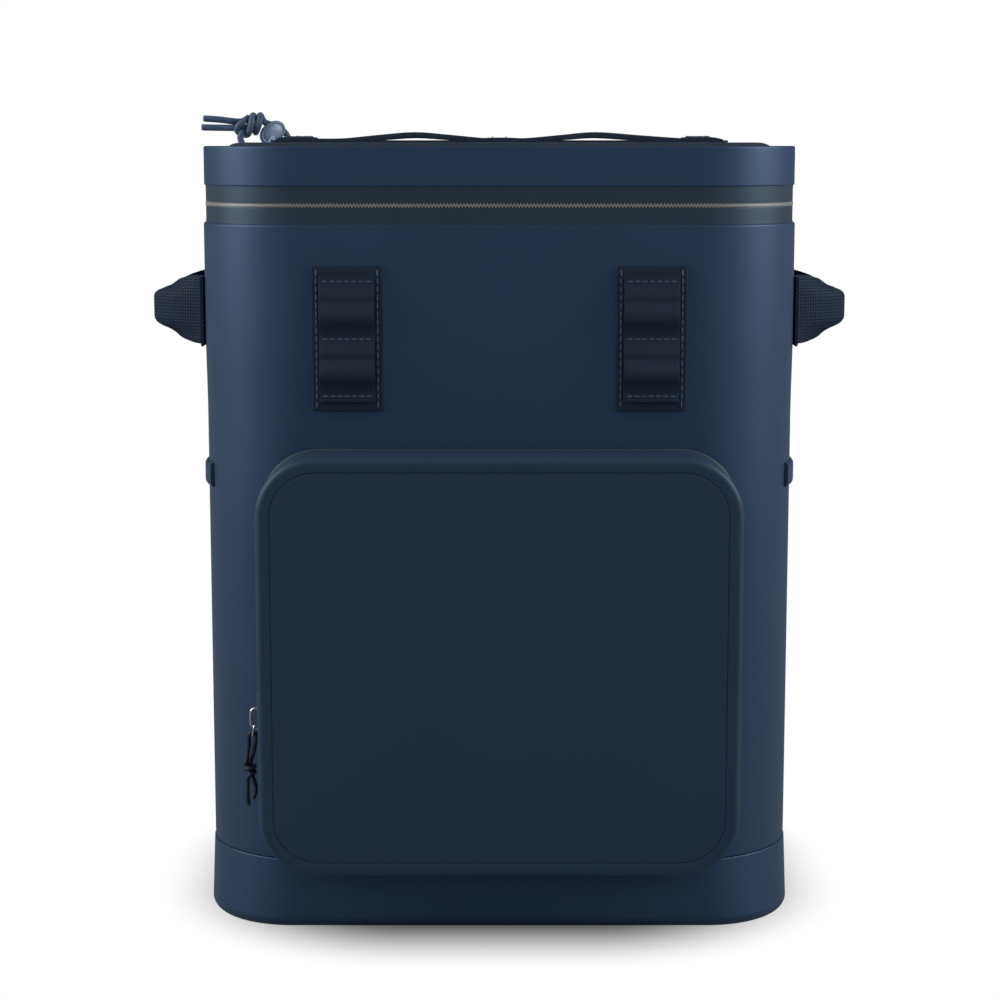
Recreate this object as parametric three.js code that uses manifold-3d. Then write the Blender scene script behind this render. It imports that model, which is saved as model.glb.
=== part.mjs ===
// A soft-sided cooler backpack, standing closed on its base.
// It is an insulated body with a foam base panel, a zipped lid with a strap across it, a moulded
// front pocket, two webbing panels, two side handles, and shoulder straps on a padded back.
// Millimetres, +Z up. The front faces -Y. The origin is the centre of the base's flat underside.
import * as THREE from "three";
import * as BufferGeometryUtils from "three/addons/utils/BufferGeometryUtils.js";
import Module from "manifold-3d";

const wasm = await Module();
wasm.setup();

// Fit between pieces that touch.
const GAP = 0.3;

// Body, from the floor up: base panel, body shell, zip band, lid.
const BODY_WIDTH = 350;
const BODY_DEPTH = 235;
const BODY_CORNER = 65; // radius of the upright corners
const BASE_HEIGHT = 42;
const BASE_PROUD = 0.5; // the base stands this far outside the shell
const BASE_CORNER = 52; // radius of the base's upright corners at the floor
const BASE_EDGE = 7; // rounding of the base's lower edge
const SHELL_HEIGHT = 373.6; // from the base panel to the shell's upper edge
const SHELL_SWELL = 0.6; // the shell widens by this much towards its upper edge
const SHELL_DIP = 0.5; // how far the shell is drawn in at the seam on the base
const WALL = 22; // insulated wall
const FLOOR = 3; // the shell's own floor, over the base panel
const CAVITY_ROUND = 8; // rounding between the cavity's floor and walls
const BAND_HEIGHT = 21.7; // height of the zip band between shell and lid
const LID_HEIGHT = 22.7;
const LID_EDGE = 1.5; // rounding of the lid's upper edge
const LID_HEM = 0.7; // rounding of the lid's lower edge

// Zip band.
const BAND_RECESS = 0.9; // the band lies this far inside the shell's outside
const TAPE_THICK = 3;
const CHAIN_HEIGHT = 2.6;
const CHAIN_PROUD = 0.4; // the teeth stand this far out of the tapes
const ZIP_END_ANGLE = 34; // the zip ends this far round each rear corner, in degrees

// Raised panel and strap on the lid.
const LID_BORDER = 15; // border of the lid outside the raised panel
const LID_PANEL_THICK = 1.7;
const LID_PANEL_SLOPE = 7; // width of the panel's sloping edge
const LID_STRAP_LENGTH = 272;
const LID_STRAP_WIDTH = 32;
const LID_STRAP_THICK = 1.5;
const LID_STRAP_RISE = 1.2; // how far a loop stands off its backing
const LID_BACKING_THICK = 0.8;
const LID_BACKING_MARGIN = 3;

// Main zip slider and its pull tab.
const SLIDER_LENGTH = 17;
const SLIDER_HEIGHT = 9;
const SLIDER_THICK = 3.6;
const TAB_THICK = 3;
const TAB_STANDOFF = 5; // from the band's outline to the tab's back
const TAB_FOOT = 7; // the tab reaches this far below its pivot
const TAB_NECK_WIDTH = 9;
const TAB_HEAD_WIDTH = 20;
const TAB_HEAD_HEIGHT = 14;
const TAB_HEAD_TILT = 30; // degrees
const TAB_HEAD_ABOVE_LID = 8.6; // centre of the head over the lid's top
const TAB_EYE_WIDTH = 9.5; // the eye that the pull cord goes through
const TAB_EYE_HEIGHT = 5.5;
const TAB_EYE_RIM = 3; // material round the eye
const TAB_EYE_BELOW_LID = 6;
const POST_RADIUS = 2; // the post that the tab turns on
const POST_CAP_RADIUS = 3.2;
const POST_CAP_THICK = 1.2;

// Front pocket.
const POCKET_WIDTH = 276;
const POCKET_HEIGHT = 243;
const POCKET_DEPTH = 40.5; // from the body to the rim of the pocket's face
const POCKET_CORNER = 34;
const POCKET_RIM = 4; // rounding between the pocket's face and side
const POCKET_WALL = 2.5;
const POCKET_CROWN = 1.5; // the face is this much higher at its middle
const POCKET_ABOVE_BASE = 2; // from the base panel's top to the pocket
const SEAM_INSET = 8.5; // from the pocket's outline to the seam line on its face
const SEAM_WIDTH = 1.6;
const SEAM_DEPTH = 0.9;
const WELT_THICK = 2.2; // where the pocket meets the body
const WELT_PROUD = 0.4;
const POCKET_ZIP_WIDTH = 7; // depth of the zip strip between welt and pocket
const POCKET_ZIP_RECESS = 1.2;
const COIL_WIDTH = 2;
const COIL_PROUD = 0.6;
const STRIP_THICK = 5; // of the welt and the zip strip, inwards

// Pocket zip slider, ring and link.
const POCKET_SLIDER_Z = 144; // middle of the slider over the floor
const POCKET_SLIDER_HEIGHT = 12;
const POCKET_SLIDER_WIDTH = 6.2;
const POCKET_SLIDER_FRONT = 3; // its front stands this far off the pocket's side
const POCKET_SLIDER_BACK = 0.4; // its back lies this far inside the pocket's side
const EYE_PLATE_THICK = 1.4;
const EYE_PLATE_HEIGHT = 7.6;
const EYE_PLATE_WIDTH = 5.6;
const EYE_HOLE_HEIGHT = 4.4;
const EYE_HOLE_WIDTH = 3.2;
const RING_WIDTH = 8.4;
const RING_HEIGHT = 13.6;
const RING_WIRE = 1.6;
const RING_OUT = 3.7; // middle of the ring off the pocket's side
const RING_BELOW_SLIDER = 14.3; // middle of the ring under the slider's middle
const LINK_WIDTH = 5.7;
const LINK_HEIGHT = 8.4;
const LINK_WIRE = 1.3;
const LINK_LEAN = 12; // degrees, outwards at its lower end
const LINK_OUT = 5.45; // middle of the link off the pocket's side
const LINK_BELOW_SLIDER = 21.7; // middle of the link under the slider's middle

// Webbing panels above the pocket.
const PANEL_SPACING = 174; // between the two panels' middles
const PANEL_WIDTH = 40.6;
const PANEL_HEIGHT = 83;
const PANEL_THICK = 1.6;
const PANEL_CORNER = 1;
const PANEL_BELOW_SHELL_TOP = 23.2;
const LOOP_STRAP_WIDTH = 31.8;
const LOOP_STRAP_THICK = 1.6;
const LOOP_PITCH = 32.8; // between rows of stitching
const LOOP_RISE = 4; // how far a loop stands off the panel
const LOOP_HEM = 3.3; // strap beyond the outer rows of stitching

// Side handles and side tabs.
const HANDLE_WEBBING = 42; // width of the webbing
const HANDLE_THICK = 1.8;
const HANDLE_SPAN = 128; // between the outer ends of its sewn ends
const HANDLE_REACH = 33.8; // from the sewn webbing to the middle of the grip
const HANDLE_BELOW_SHELL_TOP = 54.5; // to the middle of the webbing
const SIDE_TAB_HEIGHT = 14.4;
const SIDE_TAB_THICK = 2;
const SIDE_TAB_CHAMFER = 3;
const SIDE_TAB_BELOW_SHELL_TOP = 148.7; // to the tab's middle
const SIDE_TAB_LENGTH = 30; // along the side, behind the corner's round
const SIDE_TAB_WRAP = 24; // degrees that it goes round the front corner

// Padded back and shoulder straps.
const BACK_PAD_WIDTH = 206;
const BACK_PAD_HEIGHT = 246;
const BACK_PAD_THICK = 12;
const BACK_PAD_CORNER = 30;
const BACK_PAD_EDGE = 5; // rounding of its outer edge
const BACK_PAD_ABOVE_BASE = 82;
const YOKE_WIDTH = 190;
const YOKE_HEIGHT = 26;
const YOKE_THICK = 3;
const YOKE_CORNER = 4;
const YOKE_BELOW_SHELL_TOP = 8;
const STRAP_WIDTH = 62;
const STRAP_THICK = 13;
const STRAP_REACH = 52; // from the yoke to the middle of the padding, at its furthest
const STRAP_TOP_X = 50; // middle of the strap at the yoke
const STRAP_LOW_X = 88; // middle of the strap at its lower end
const STRAP_DROP = 232; // from the yoke's middle to the strap's lower end
const WEB_WIDTH = 25;
const WEB_THICK = 1.6;
const BUCKLE_WIDTH = 38;
const BUCKLE_HEIGHT = 42;
const BUCKLE_THICK = 4.5;
const BUCKLE_BAR = 5;
const BUCKLE_CORNER = 4;
const ANCHOR_ABOVE_BASE = 6; // from the base panel to the webbing's sewn end
const ANCHOR_HEIGHT = 20;

// Pull cords. Their points are chosen by hand. The main cord's lie in the frame of the main
// slider: x along the wall, y up and z away from it. Each strand starts in the tab's eye.
const CORD = 3.9;
const MAIN_KNOT = { x: 18.4, y: 47.2, z: 4, width: 17.5, height: 16, depth: 14 };
const MAIN_CORD_INNER = [
  [0.11, 27.5, 6.39],
  [2.4, 27.6, 3.85],
  [5, 27.9, 2.35],
  [9, 28.8, 1.95],
  [14.5, 30.2, 1.6],
  [20, 32.2, 1.2],
  [24, 35, 1],
  [23.7, 40.1, 2],
];
const MAIN_CORD_OUTER = [
  [-0.11, 27.5, 6.61],
  [-2.6, 27.4, 9.1],
  [-5.8, 27.4, 11.6],
  [-11, 28.8, 12.9],
  [-15, 33.4, 12.8],
  [-14.6, 39.2, 12.2],
  [-10.4, 43.8, 11.6],
  [-4, 46.6, 11.2],
  [3, 48.8, 10.8],
  [10.6, 49.2, 8],
];
const MAIN_TAIL_UPPER = [
  [25.2, 49.5, 8.7],
  [32, 50.3, 13],
  [38, 50.9, 16.6],
  [43.6, 51.3, 20.4],
];
const MAIN_TAIL_LOWER = [
  [25.6, 45, 8.8],
  [33, 45.1, 13.6],
  [39, 45.3, 17.6],
  [44.6, 45.6, 21.4],
];
// The pocket cord's points lie in the frame of the pocket slider: x to the front, y up and z
// away from the pocket's side. Each strand starts inside the link.
const POCKET_CORD = 2.4;
const POCKET_KNOT = { x: 0, y: -44, z: 8.4, width: 9, height: 7.4, depth: 8.4 };
const POCKET_CORD_OUTER = [
  [0, -22.95, 6.35],
  [0, -22.95, 6.9],
  [0, -24.1, 8],
  [0, -25.6, 8.4],
  [0, -27.8, 8.4],
  [0, -31, 8.6],
  [0, -35, 9.2],
  [0, -39.9, 9.8],
];
const POCKET_CORD_INNER = [
  [0, -22.95, 6.05],
  [0, -22.95, 5.5],
  [0, -24, 4.3],
  [0, -25.6, 3.9],
  [0, -27.8, 4.3],
  [0, -31, 5],
  [0, -35, 5.8],
  [0, -40.2, 7],
];
const POCKET_TAIL_OUTER = [
  [1.3, -47.8, 9.2],
  [1.8, -53, 9.2],
  [2, -57, 9.4],
  [1.6, -61.6, 9.4],
  [1, -66.2, 9],
];
const POCKET_TAIL_INNER = [
  [-1.3, -47.7, 7.2],
  [-1.8, -53, 5.8],
  [-2.2, -57, 5],
  [-2.2, -60.6, 5.6],
  [-1.8, -63.6, 6.6],
];

// Facets.
const CORNER_STEPS = 8; // in a quarter turn
const SHARP_CORNER = 0.5; // least radius of an inset outline
const FILLET_STEPS = 3;
const CORD_SIDES = 8;
const ROUND_SIDES = 12;
const WIRE_SIDES = 6;

// Levels over the floor, and the body's half sizes.
const shellTop = BASE_HEIGHT + SHELL_HEIGHT;
const lidBottom = shellTop + BAND_HEIGHT;
const lidTop = lidBottom + LID_HEIGHT;
const bandMiddle = shellTop + BAND_HEIGHT / 2;
const halfWidth = BODY_WIDTH / 2;
const halfDepth = BODY_DEPTH / 2;
const quarterTurn = Math.PI / 2;
const radians = THREE.MathUtils.degToRad;

// Materials, one for each finish.
const finish = (color, roughness, metalness = 0) =>
  new THREE.MeshStandardMaterial({ color, roughness, metalness });
const shellFabric = finish(0x2a3f5e, 0.45);
const pocketFabric = finish(0x26384f, 0.55);
const tapeFabric = finish(0x2a3644, 0.5);
const teethMetal = finish(0x8d8b82, 0.4, 0.7);
const webbing = finish(0x233146, 0.85);
const paintedPull = finish(0x5c7190, 0.4, 0.3);
const brightMetal = finish(0xb4b6b8, 0.3, 0.9);
const cordFibre = finish(0x2f4365, 0.8);
const darkCordFibre = finish(0x161c26, 0.8);
const padFabric = finish(0x202a38, 0.9);
const buckleMoulding = finish(0x14181f, 0.5);

const model = new THREE.Group();

function add(parent, name, geometry, material) {
  const mesh = new THREE.Mesh(geometry, material);
  mesh.name = name;
  parent.add(mesh);
}

// A face to build on: local X and Y lie in the face and local Z points away from the body.
// Turn is 0 at the front, a quarter turn at the right side and a half turn at the back.
function faceGroup(x, y, z, turn) {
  const group = new THREE.Group();
  group.position.set(x, y, z);
  group.rotation.set(quarterTurn, 0, turn, "ZYX");
  model.add(group);
  return group;
}

// Points with outward normals round a rounded rectangle, anticlockwise, between two directions
// in degrees. Direction 0 is +X, and the corners' arcs fill the whole turn.
function outline(halfX, halfY, cornerRadius, from = 0, to = 360) {
  const radius = Math.max(cornerRadius, SHARP_CORNER);
  const points = [];
  for (let start = Math.floor(from / 90) * 90; start < to; start += 90) {
    const low = Math.max(from, start);
    const high = Math.min(to, start + 90);
    const quarter = (((start / 90) % 4) + 4) % 4;
    const centreX = (quarter === 0 || quarter === 3 ? 1 : -1) * (halfX - radius);
    const centreY = (quarter < 2 ? 1 : -1) * (halfY - radius);
    const steps = Math.max(2, Math.round((CORNER_STEPS * (high - low)) / 90));
    for (let i = 0; i <= steps; i++) {
      const angle = radians(low + ((high - low) * i) / steps);
      const nx = Math.cos(angle);
      const ny = Math.sin(angle);
      points.push({ x: centreX + radius * nx, y: centreY + radius * ny, nx, ny });
    }
  }
  return points;
}

// Turns a closed geometry's faces outwards.
function facingOut(geometry) {
  const position = geometry.getAttribute("position");
  const index = geometry.getIndex().array;
  const [a, b, c] = [new THREE.Vector3(), new THREE.Vector3(), new THREE.Vector3()];
  let volume = 0;
  for (let i = 0; i < index.length; i += 3) {
    a.fromBufferAttribute(position, index[i]);
    b.fromBufferAttribute(position, index[i + 1]);
    c.fromBufferAttribute(position, index[i + 2]);
    volume += a.dot(b.cross(c));
  }
  for (let i = 0; volume < 0 && i < index.length; i += 3)
    [index[i + 1], index[i + 2]] = [index[i + 2], index[i + 1]];
  geometry.computeVertexNormals();
  return geometry;
}

// A closed solid through rings of equally many points. Its ends are capped, each by the flat
// contour of its ring, and without contours the last ring joins the first.
function skin(rings, contours = null) {
  const count = rings[0].length;
  const faces = [];
  const spans = contours ? rings.length - 1 : rings.length;
  for (let i = 0; i < spans; i++) {
    const here = i * count;
    const next = ((i + 1) % rings.length) * count;
    for (let j = 0; j < count; j++) {
      const k = (j + 1) % count;
      faces.push([here + j, here + k, next + k], [here + j, next + k, next + j]);
    }
  }
  const capContours = contours ?? [];
  capContours.forEach((contour, end) => {
    const start = end * (rings.length - 1) * count;
    const points = contour.map(([x, y]) => new THREE.Vector2(x, y));
    const clockwise = THREE.ShapeUtils.isClockWise(points);
    // The first cap runs against the contour's order and the last cap along it.
    const reverse = clockwise === (end === 1);
    for (const [a, b, c] of THREE.ShapeUtils.triangulateShape(points, []))
      faces.push(reverse ? [start + a, start + c, start + b] : [start + a, start + b, start + c]);
  });
  const geometry = new THREE.BufferGeometry();
  geometry.setAttribute("position", new THREE.Float32BufferAttribute(rings.flat(2), 3));
  geometry.setIndex(faces.flat());
  return facingOut(geometry);
}

// Rings through rounded rectangles. Each row is an inset from the outline and a height, and it
// may give its own radius for the outline's corners.
function loftRings(halfX, halfY, radius, rows) {
  return rows.map(([inset, height, corner = radius]) =>
    outline(halfX - inset, halfY - inset, corner - inset).map(({ x, y }) => [x, y, height]),
  );
}

// A solid through rounded rectangles, closed with flat faces at its first and last row.
function loft(halfX, halfY, radius, rows) {
  const rings = loftRings(halfX, halfY, radius, rows);
  return skin(rings, [rings[0], rings.at(-1)]);
}

// A frame whose section is the closed outline that the rows give.
function frameLoft(halfX, halfY, radius, rows) {
  return skin(loftRings(halfX, halfY, radius, rows));
}

// Rows for a rounded edge, from its flat face to its upright side. Inset and height are those
// of the corner that the rounding replaces, and up is the way from the flat face to the side.
function rounded(inset, height, radius, up) {
  const rows = [];
  for (let i = 0; i <= FILLET_STEPS; i++) {
    const angle = quarterTurn * (i / FILLET_STEPS);
    rows.push([
      inset + radius * (1 - Math.sin(angle)),
      height + up * radius * (1 - Math.cos(angle)),
    ]);
  }
  return rows;
}

// Sweeps a closed profile of outward and height values along an open outline.
function sweep(path, profile) {
  const rings = path.map(({ x, y, nx, ny }) =>
    profile.map(([out, height]) => [x + nx * out, y + ny * out, height]),
  );
  return skin(rings, [profile, profile]);
}

// A strap lying along X with its width along Y. Rows give its underside and thickness along it.
function stripAlong(rows, width) {
  const contour = [
    ...rows.map(({ along, under }) => [along, under]),
    ...rows.toReversed().map(({ along, under, thick }) => [along, under + thick]),
  ];
  const ring = (side) => contour.map(([along, height]) => [along, (side * width) / 2, height]);
  return skin([ring(1), ring(-1)], [contour, contour]);
}

// A strap, pad or webbing through stations. Each has its middle, the direction of its width,
// its width and its thickness. Its long edges are bevelled.
function ribbon(stations) {
  const section = ({ wide, thick }) => {
    const u = wide / 2;
    const v = thick / 2;
    const bevel = thick / 3;
    return [
      [u, v - bevel],
      [u - bevel, v],
      [bevel - u, v],
      [-u, v - bevel],
      [-u, bevel - v],
      [bevel - u, -v],
      [u - bevel, -v],
      [u, bevel - v],
    ];
  };
  const rings = stations.map((station, i) => {
    const before = stations[Math.max(i - 1, 0)].at;
    const after = stations[Math.min(i + 1, stations.length - 1)].at;
    const along = after.clone().sub(before).normalize();
    const normal = along.cross(station.across).normalize();
    return section(station).map(([u, v]) =>
      station.at.clone().addScaledVector(station.across, u).addScaledVector(normal, v).toArray(),
    );
  });
  return skin(rings, [section(stations[0]), section(stations.at(-1))]);
}

function roundedShape(width, height, radius) {
  const points = outline(width / 2, height / 2, radius).map(({ x, y }) => new THREE.Vector2(x, y));
  return new THREE.Shape(points);
}

// A plate with its back at the given distance off the face.
function plate(shape, thick, off) {
  const geometry = new THREE.ExtrudeGeometry(shape, {
    depth: thick,
    bevelEnabled: false,
    curveSegments: ROUND_SIDES,
  });
  return geometry.translate(0, 0, off);
}

// An oval wire ring in the XY plane, with round ends and straight sides.
function wireRing(width, height, wire, sideSteps) {
  const radius = (width - wire) / 2;
  const straight = (height - width) / 2;
  const rings = [];
  for (const end of [1, -1])
    for (let i = 0; i <= sideSteps; i++) {
      const angle = (end > 0 ? 0 : Math.PI) + (Math.PI * i) / sideSteps;
      const [cos, sin] = [Math.cos(angle), Math.sin(angle)];
      const ring = [];
      for (let j = 0; j < WIRE_SIDES; j++) {
        const around = (2 * Math.PI * j) / WIRE_SIDES;
        const reach = radius + (wire / 2) * Math.cos(around);
        ring.push([reach * cos, end * straight + reach * sin, (wire / 2) * Math.sin(around)]);
      }
      rings.push(ring);
    }
  return skin(rings);
}

// A round cord along a smooth curve through points.
function cord(points, diameter) {
  const curve = new THREE.CatmullRomCurve3(
    points.map((point) => new THREE.Vector3(...point)),
    false,
    "centripetal",
  );
  const section = new THREE.Shape();
  section.absarc(0, 0, diameter / 2, 0, Math.PI * 2);
  const steps = Math.max(points.length, Math.round(curve.getLength() / (2 * diameter)));
  return new THREE.ExtrudeGeometry(section, {
    steps,
    curveSegments: CORD_SIDES,
    extrudePath: curve,
  });
}

function knot({ x, y, z, width, height, depth }) {
  const geometry = new THREE.IcosahedronGeometry(0.5, 1);
  return geometry.scale(width, height, depth).translate(x, y, z);
}

function toManifold(geometry) {
  const bare = geometry.clone();
  bare.deleteAttribute("normal");
  bare.deleteAttribute("uv");
  const merged = BufferGeometryUtils.mergeVertices(bare, 1e-4);
  return new wasm.Manifold(
    new wasm.Mesh({
      numProp: 3,
      vertProperties: new Float32Array(merged.getAttribute("position").array),
      triVerts: new Uint32Array(merged.getIndex().array),
    }),
  );
}

function fromManifold(solid) {
  const mesh = solid.getMesh();
  const geometry = new THREE.BufferGeometry();
  geometry.setAttribute("position", new THREE.BufferAttribute(mesh.vertProperties, 3));
  geometry.setIndex(new THREE.BufferAttribute(mesh.triVerts, 1));
  geometry.computeVertexNormals();
  return geometry;
}

const joined = (...parts) =>
  fromManifold(parts.map(toManifold).reduce((whole, part) => whole.add(part)));
const cut = (body, ...tools) =>
  fromManifold(tools.map(toManifold).reduce((rest, tool) => rest.subtract(tool), toManifold(body)));

const sides = [
  { name: "left", sign: -1 },
  { name: "right", sign: 1 },
];

// The base panel's corners tighten towards the floor.
function basePanel() {
  const rows = [
    ...rounded(0, 0, BASE_EDGE, 1).map((row) => [...row, BASE_CORNER]),
    [0, BASE_HEIGHT - GAP - BASE_PROUD],
    [BASE_PROUD, BASE_HEIGHT - GAP],
  ];
  const panel = loft(
    halfWidth + BASE_PROUD,
    halfDepth + BASE_PROUD,
    BODY_CORNER + BASE_PROUD,
    rows,
  );
  add(model, "base_panel", panel, shellFabric);
}

// The body shell is a tub. Its rim stands up behind the zip band, and its cavity is open above.
// Rise is a share of the shell's height and swell a share of its widening.
const SHELL_ROWS = [
  { rise: 0.04, swell: 0 },
  { rise: 0.7, swell: 0 },
  { rise: 0.82, swell: 1 },
];
function bodyShell() {
  const rimInset = BAND_RECESS + TAPE_THICK + GAP;
  const rows = [
    [SHELL_DIP, BASE_HEIGHT],
    ...SHELL_ROWS.map(({ rise, swell }) => [
      -swell * SHELL_SWELL,
      BASE_HEIGHT + rise * SHELL_HEIGHT,
    ]),
    [-SHELL_SWELL, shellTop - BAND_RECESS],
    [BAND_RECESS - SHELL_SWELL, shellTop],
    [rimInset, shellTop],
    [rimInset, lidBottom - GAP],
    [WALL, lidBottom - GAP],
    ...rounded(WALL, BASE_HEIGHT + FLOOR, CAVITY_ROUND, 1).reverse(),
  ];
  add(model, "body_shell", loft(halfWidth, halfDepth, BODY_CORNER, rows), shellFabric);
}

function lid() {
  const rows = [
    ...rounded(0, lidBottom, LID_HEM, 1),
    ...rounded(0, lidTop, LID_EDGE, -1).reverse(),
  ];
  add(model, "lid", loft(halfWidth, halfDepth, BODY_CORNER, rows), shellFabric);
}

// The zip goes round the front and both sides, and a plain hinge strip closes the back.
function zipBand() {
  const start = 90 + ZIP_END_ANGLE;
  const end = 450 - ZIP_END_ANGLE;
  const chainLow = bandMiddle - CHAIN_HEIGHT / 2;
  const chainHigh = bandMiddle + CHAIN_HEIGHT / 2;
  const around = (from, to) => outline(halfWidth, halfDepth, BODY_CORNER, from, to);
  const back = -BAND_RECESS - TAPE_THICK;
  const band = (low, high, front) => [
    [back, low],
    [front, low],
    [front, high],
    [back, high],
  ];
  const lower = band(shellTop + GAP, chainLow - GAP, -BAND_RECESS);
  const upper = band(chainHigh + GAP, lidBottom - GAP, -BAND_RECESS);
  const chain = band(chainLow, chainHigh, CHAIN_PROUD - BAND_RECESS);
  add(model, "zip_tape_lower", sweep(around(start, end), lower), tapeFabric);
  add(model, "zip_tape_upper", sweep(around(start, end), upper), tapeFabric);
  add(model, "zip_chain", sweep(around(start, end), chain), teethMetal);
  const clearance = THREE.MathUtils.radToDeg(GAP / (BODY_CORNER + back));
  const hinge = band(shellTop + GAP, lidBottom - GAP, -BAND_RECESS);
  const behind = around(end - 360 + clearance, start - clearance);
  add(model, "lid_hinge", sweep(behind, hinge), shellFabric);
}

// The raised panel slopes down to the lid all round. Inset is a share of the slope's width and
// rise a share of the panel's thickness.
const PANEL_EDGE_ROWS = [
  { inset: 0, rise: 0 },
  { inset: 0.05, rise: 0.35 },
  { inset: 0.4, rise: 0.8 },
  { inset: 1, rise: 1 },
];
const lidPanelTop = lidTop + GAP + LID_PANEL_THICK;
function lidPanel() {
  const rows = PANEL_EDGE_ROWS.map(({ inset, rise }) => [
    inset * LID_PANEL_SLOPE,
    lidTop + GAP + rise * LID_PANEL_THICK,
  ]);
  const panel = loft(
    halfWidth - LID_BORDER,
    halfDepth - LID_BORDER,
    BODY_CORNER - LID_BORDER,
    rows,
  );
  add(model, "lid_raised_panel", panel, pocketFabric);
}

// The strap across the lid is sewn down at its ends and middle, and stands up in two loops.
// Along is a share of the half length, rise of a loop's rise, and thick of the strap's.
const LID_STRAP_ROWS = [
  { along: -1, rise: 0, thick: 0.6 },
  { along: -0.97, rise: 0, thick: 1.5 },
  { along: -0.84, rise: 0, thick: 1.5 },
  { along: -0.83, rise: 0, thick: 1 },
  { along: -0.7, rise: 0, thick: 1 },
  { along: -0.55, rise: 0.5, thick: 1.6 },
  { along: -0.38, rise: 1, thick: 2.1 },
  { along: -0.22, rise: 0.7, thick: 1.8 },
  { along: -0.08, rise: 0, thick: 1.2 },
  { along: -0.04, rise: 0, thick: 1.3 },
  { along: 0.04, rise: 0, thick: 1.3 },
  { along: 0.12, rise: 0, thick: 1.1 },
  { along: 0.28, rise: 0.75, thick: 1.8 },
  { along: 0.43, rise: 1, thick: 2.1 },
  { along: 0.62, rise: 0.55, thick: 1.6 },
  { along: 0.81, rise: 0, thick: 1.1 },
  { along: 0.84, rise: 0, thick: 1.5 },
  { along: 0.95, rise: 0, thick: 1.5 },
  { along: 1, rise: 0, thick: 0.6 },
];
function lidStrap() {
  const backing = roundedShape(
    LID_STRAP_LENGTH + 2 * LID_BACKING_MARGIN,
    LID_STRAP_WIDTH + 2 * LID_BACKING_MARGIN,
    LID_BACKING_MARGIN,
  );
  const backingZ = lidPanelTop + GAP;
  add(model, "lid_strap_backing", plate(backing, LID_BACKING_THICK, backingZ), webbing);
  const strapZ = backingZ + LID_BACKING_THICK + GAP;
  const rows = LID_STRAP_ROWS.map(({ along, rise, thick }) => ({
    along: (along * LID_STRAP_LENGTH) / 2,
    under: strapZ + rise * LID_STRAP_RISE,
    thick: thick * LID_STRAP_THICK,
  }));
  add(model, "lid_strap", stripAlong(rows, LID_STRAP_WIDTH), webbing);
}

// The tab's outline below its head. Rise runs from the pivot to the eye, and wide is a share
// of the width at the eye or, at the neck, of the neck's.
const TAB_ROWS = [
  { rise: -0.12, wide: 0.55 },
  { rise: 0.3, wide: 0.58 },
  { rise: 0.7, wide: 0.8 },
  { rise: 0.88, wide: 1 },
  { rise: 1.12, wide: 1 },
];

// The main slider is parked at the zip's end on the rear left corner, and its tab stands up
// behind the lid. The pull cord goes through the tab's eye.
function mainPull() {
  const angle = radians(90 + ZIP_END_ANGLE);
  const onWall = faceGroup(
    BODY_CORNER - halfWidth + BODY_CORNER * Math.cos(angle),
    halfDepth - BODY_CORNER + BODY_CORNER * Math.sin(angle),
    bandMiddle,
    angle + quarterTurn,
  );
  const sliderBack = CHAIN_PROUD - BAND_RECESS + GAP;
  const sliderFront = sliderBack + SLIDER_THICK;
  const capBack = TAB_STANDOFF + TAB_THICK + GAP;
  const post = (radius, from, to) =>
    new THREE.CylinderGeometry(radius, radius, to - from, ROUND_SIDES)
      .rotateX(quarterTurn)
      .translate(0, 0, (from + to) / 2);
  const slider = joined(
    plate(
      roundedShape(SLIDER_LENGTH, SLIDER_HEIGHT, SLIDER_HEIGHT / 3),
      SLIDER_THICK,
      sliderBack,
    ),
    post(POST_RADIUS, sliderFront - 1, capBack + POST_CAP_THICK / 2),
    post(POST_CAP_RADIUS, capBack, capBack + POST_CAP_THICK),
  );
  add(onWall, "main_slider", slider, paintedPull);

  const lidLevel = lidTop - bandMiddle;
  const eyeY = lidLevel - TAB_EYE_BELOW_LID;
  const headY = lidLevel + TAB_HEAD_ABOVE_LID;
  const eyeRimWidth = TAB_EYE_WIDTH + 2 * TAB_EYE_RIM;
  const edge = [
    { y: -TAB_FOOT, half: TAB_NECK_WIDTH / 3 },
    ...TAB_ROWS.map(({ rise, wide }) => ({ y: rise * eyeY, half: (wide * eyeRimWidth) / 2 })),
    { y: (lidLevel + headY) / 2, half: TAB_NECK_WIDTH / 2 },
  ];
  const stem = new THREE.Shape([
    ...edge.map(({ y, half }) => new THREE.Vector2(half, y)),
    ...edge.toReversed().map(({ y, half }) => new THREE.Vector2(-half, y)),
  ]);
  const eye = new THREE.Path();
  eye.absellipse(0, eyeY, TAB_EYE_WIDTH / 2, TAB_EYE_HEIGHT / 2, 0, Math.PI * 2, true);
  const pivot = new THREE.Path();
  pivot.absarc(0, 0, POST_RADIUS + GAP, 0, Math.PI * 2, true);
  stem.holes.push(eye, pivot);
  const head = new THREE.Shape();
  head.absellipse(
    0,
    headY,
    TAB_HEAD_WIDTH / 2,
    TAB_HEAD_HEIGHT / 2,
    0,
    Math.PI * 2,
    false,
    radians(-TAB_HEAD_TILT),
  );
  const tab = joined(plate(stem, TAB_THICK, TAB_STANDOFF), plate(head, TAB_THICK, TAB_STANDOFF));
  add(onWall, "main_pull_tab", tab, paintedPull);

  add(onWall, "main_cord_inner", cord(MAIN_CORD_INNER, CORD), cordFibre);
  add(onWall, "main_cord_outer", cord(MAIN_CORD_OUTER, CORD), cordFibre);
  add(onWall, "main_pull_knot", knot(MAIN_KNOT), cordFibre);
  add(onWall, "main_tail_upper", cord(MAIN_TAIL_UPPER, CORD), cordFibre);
  add(onWall, "main_tail_lower", cord(MAIN_TAIL_LOWER, CORD), cordFibre);
}

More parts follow.
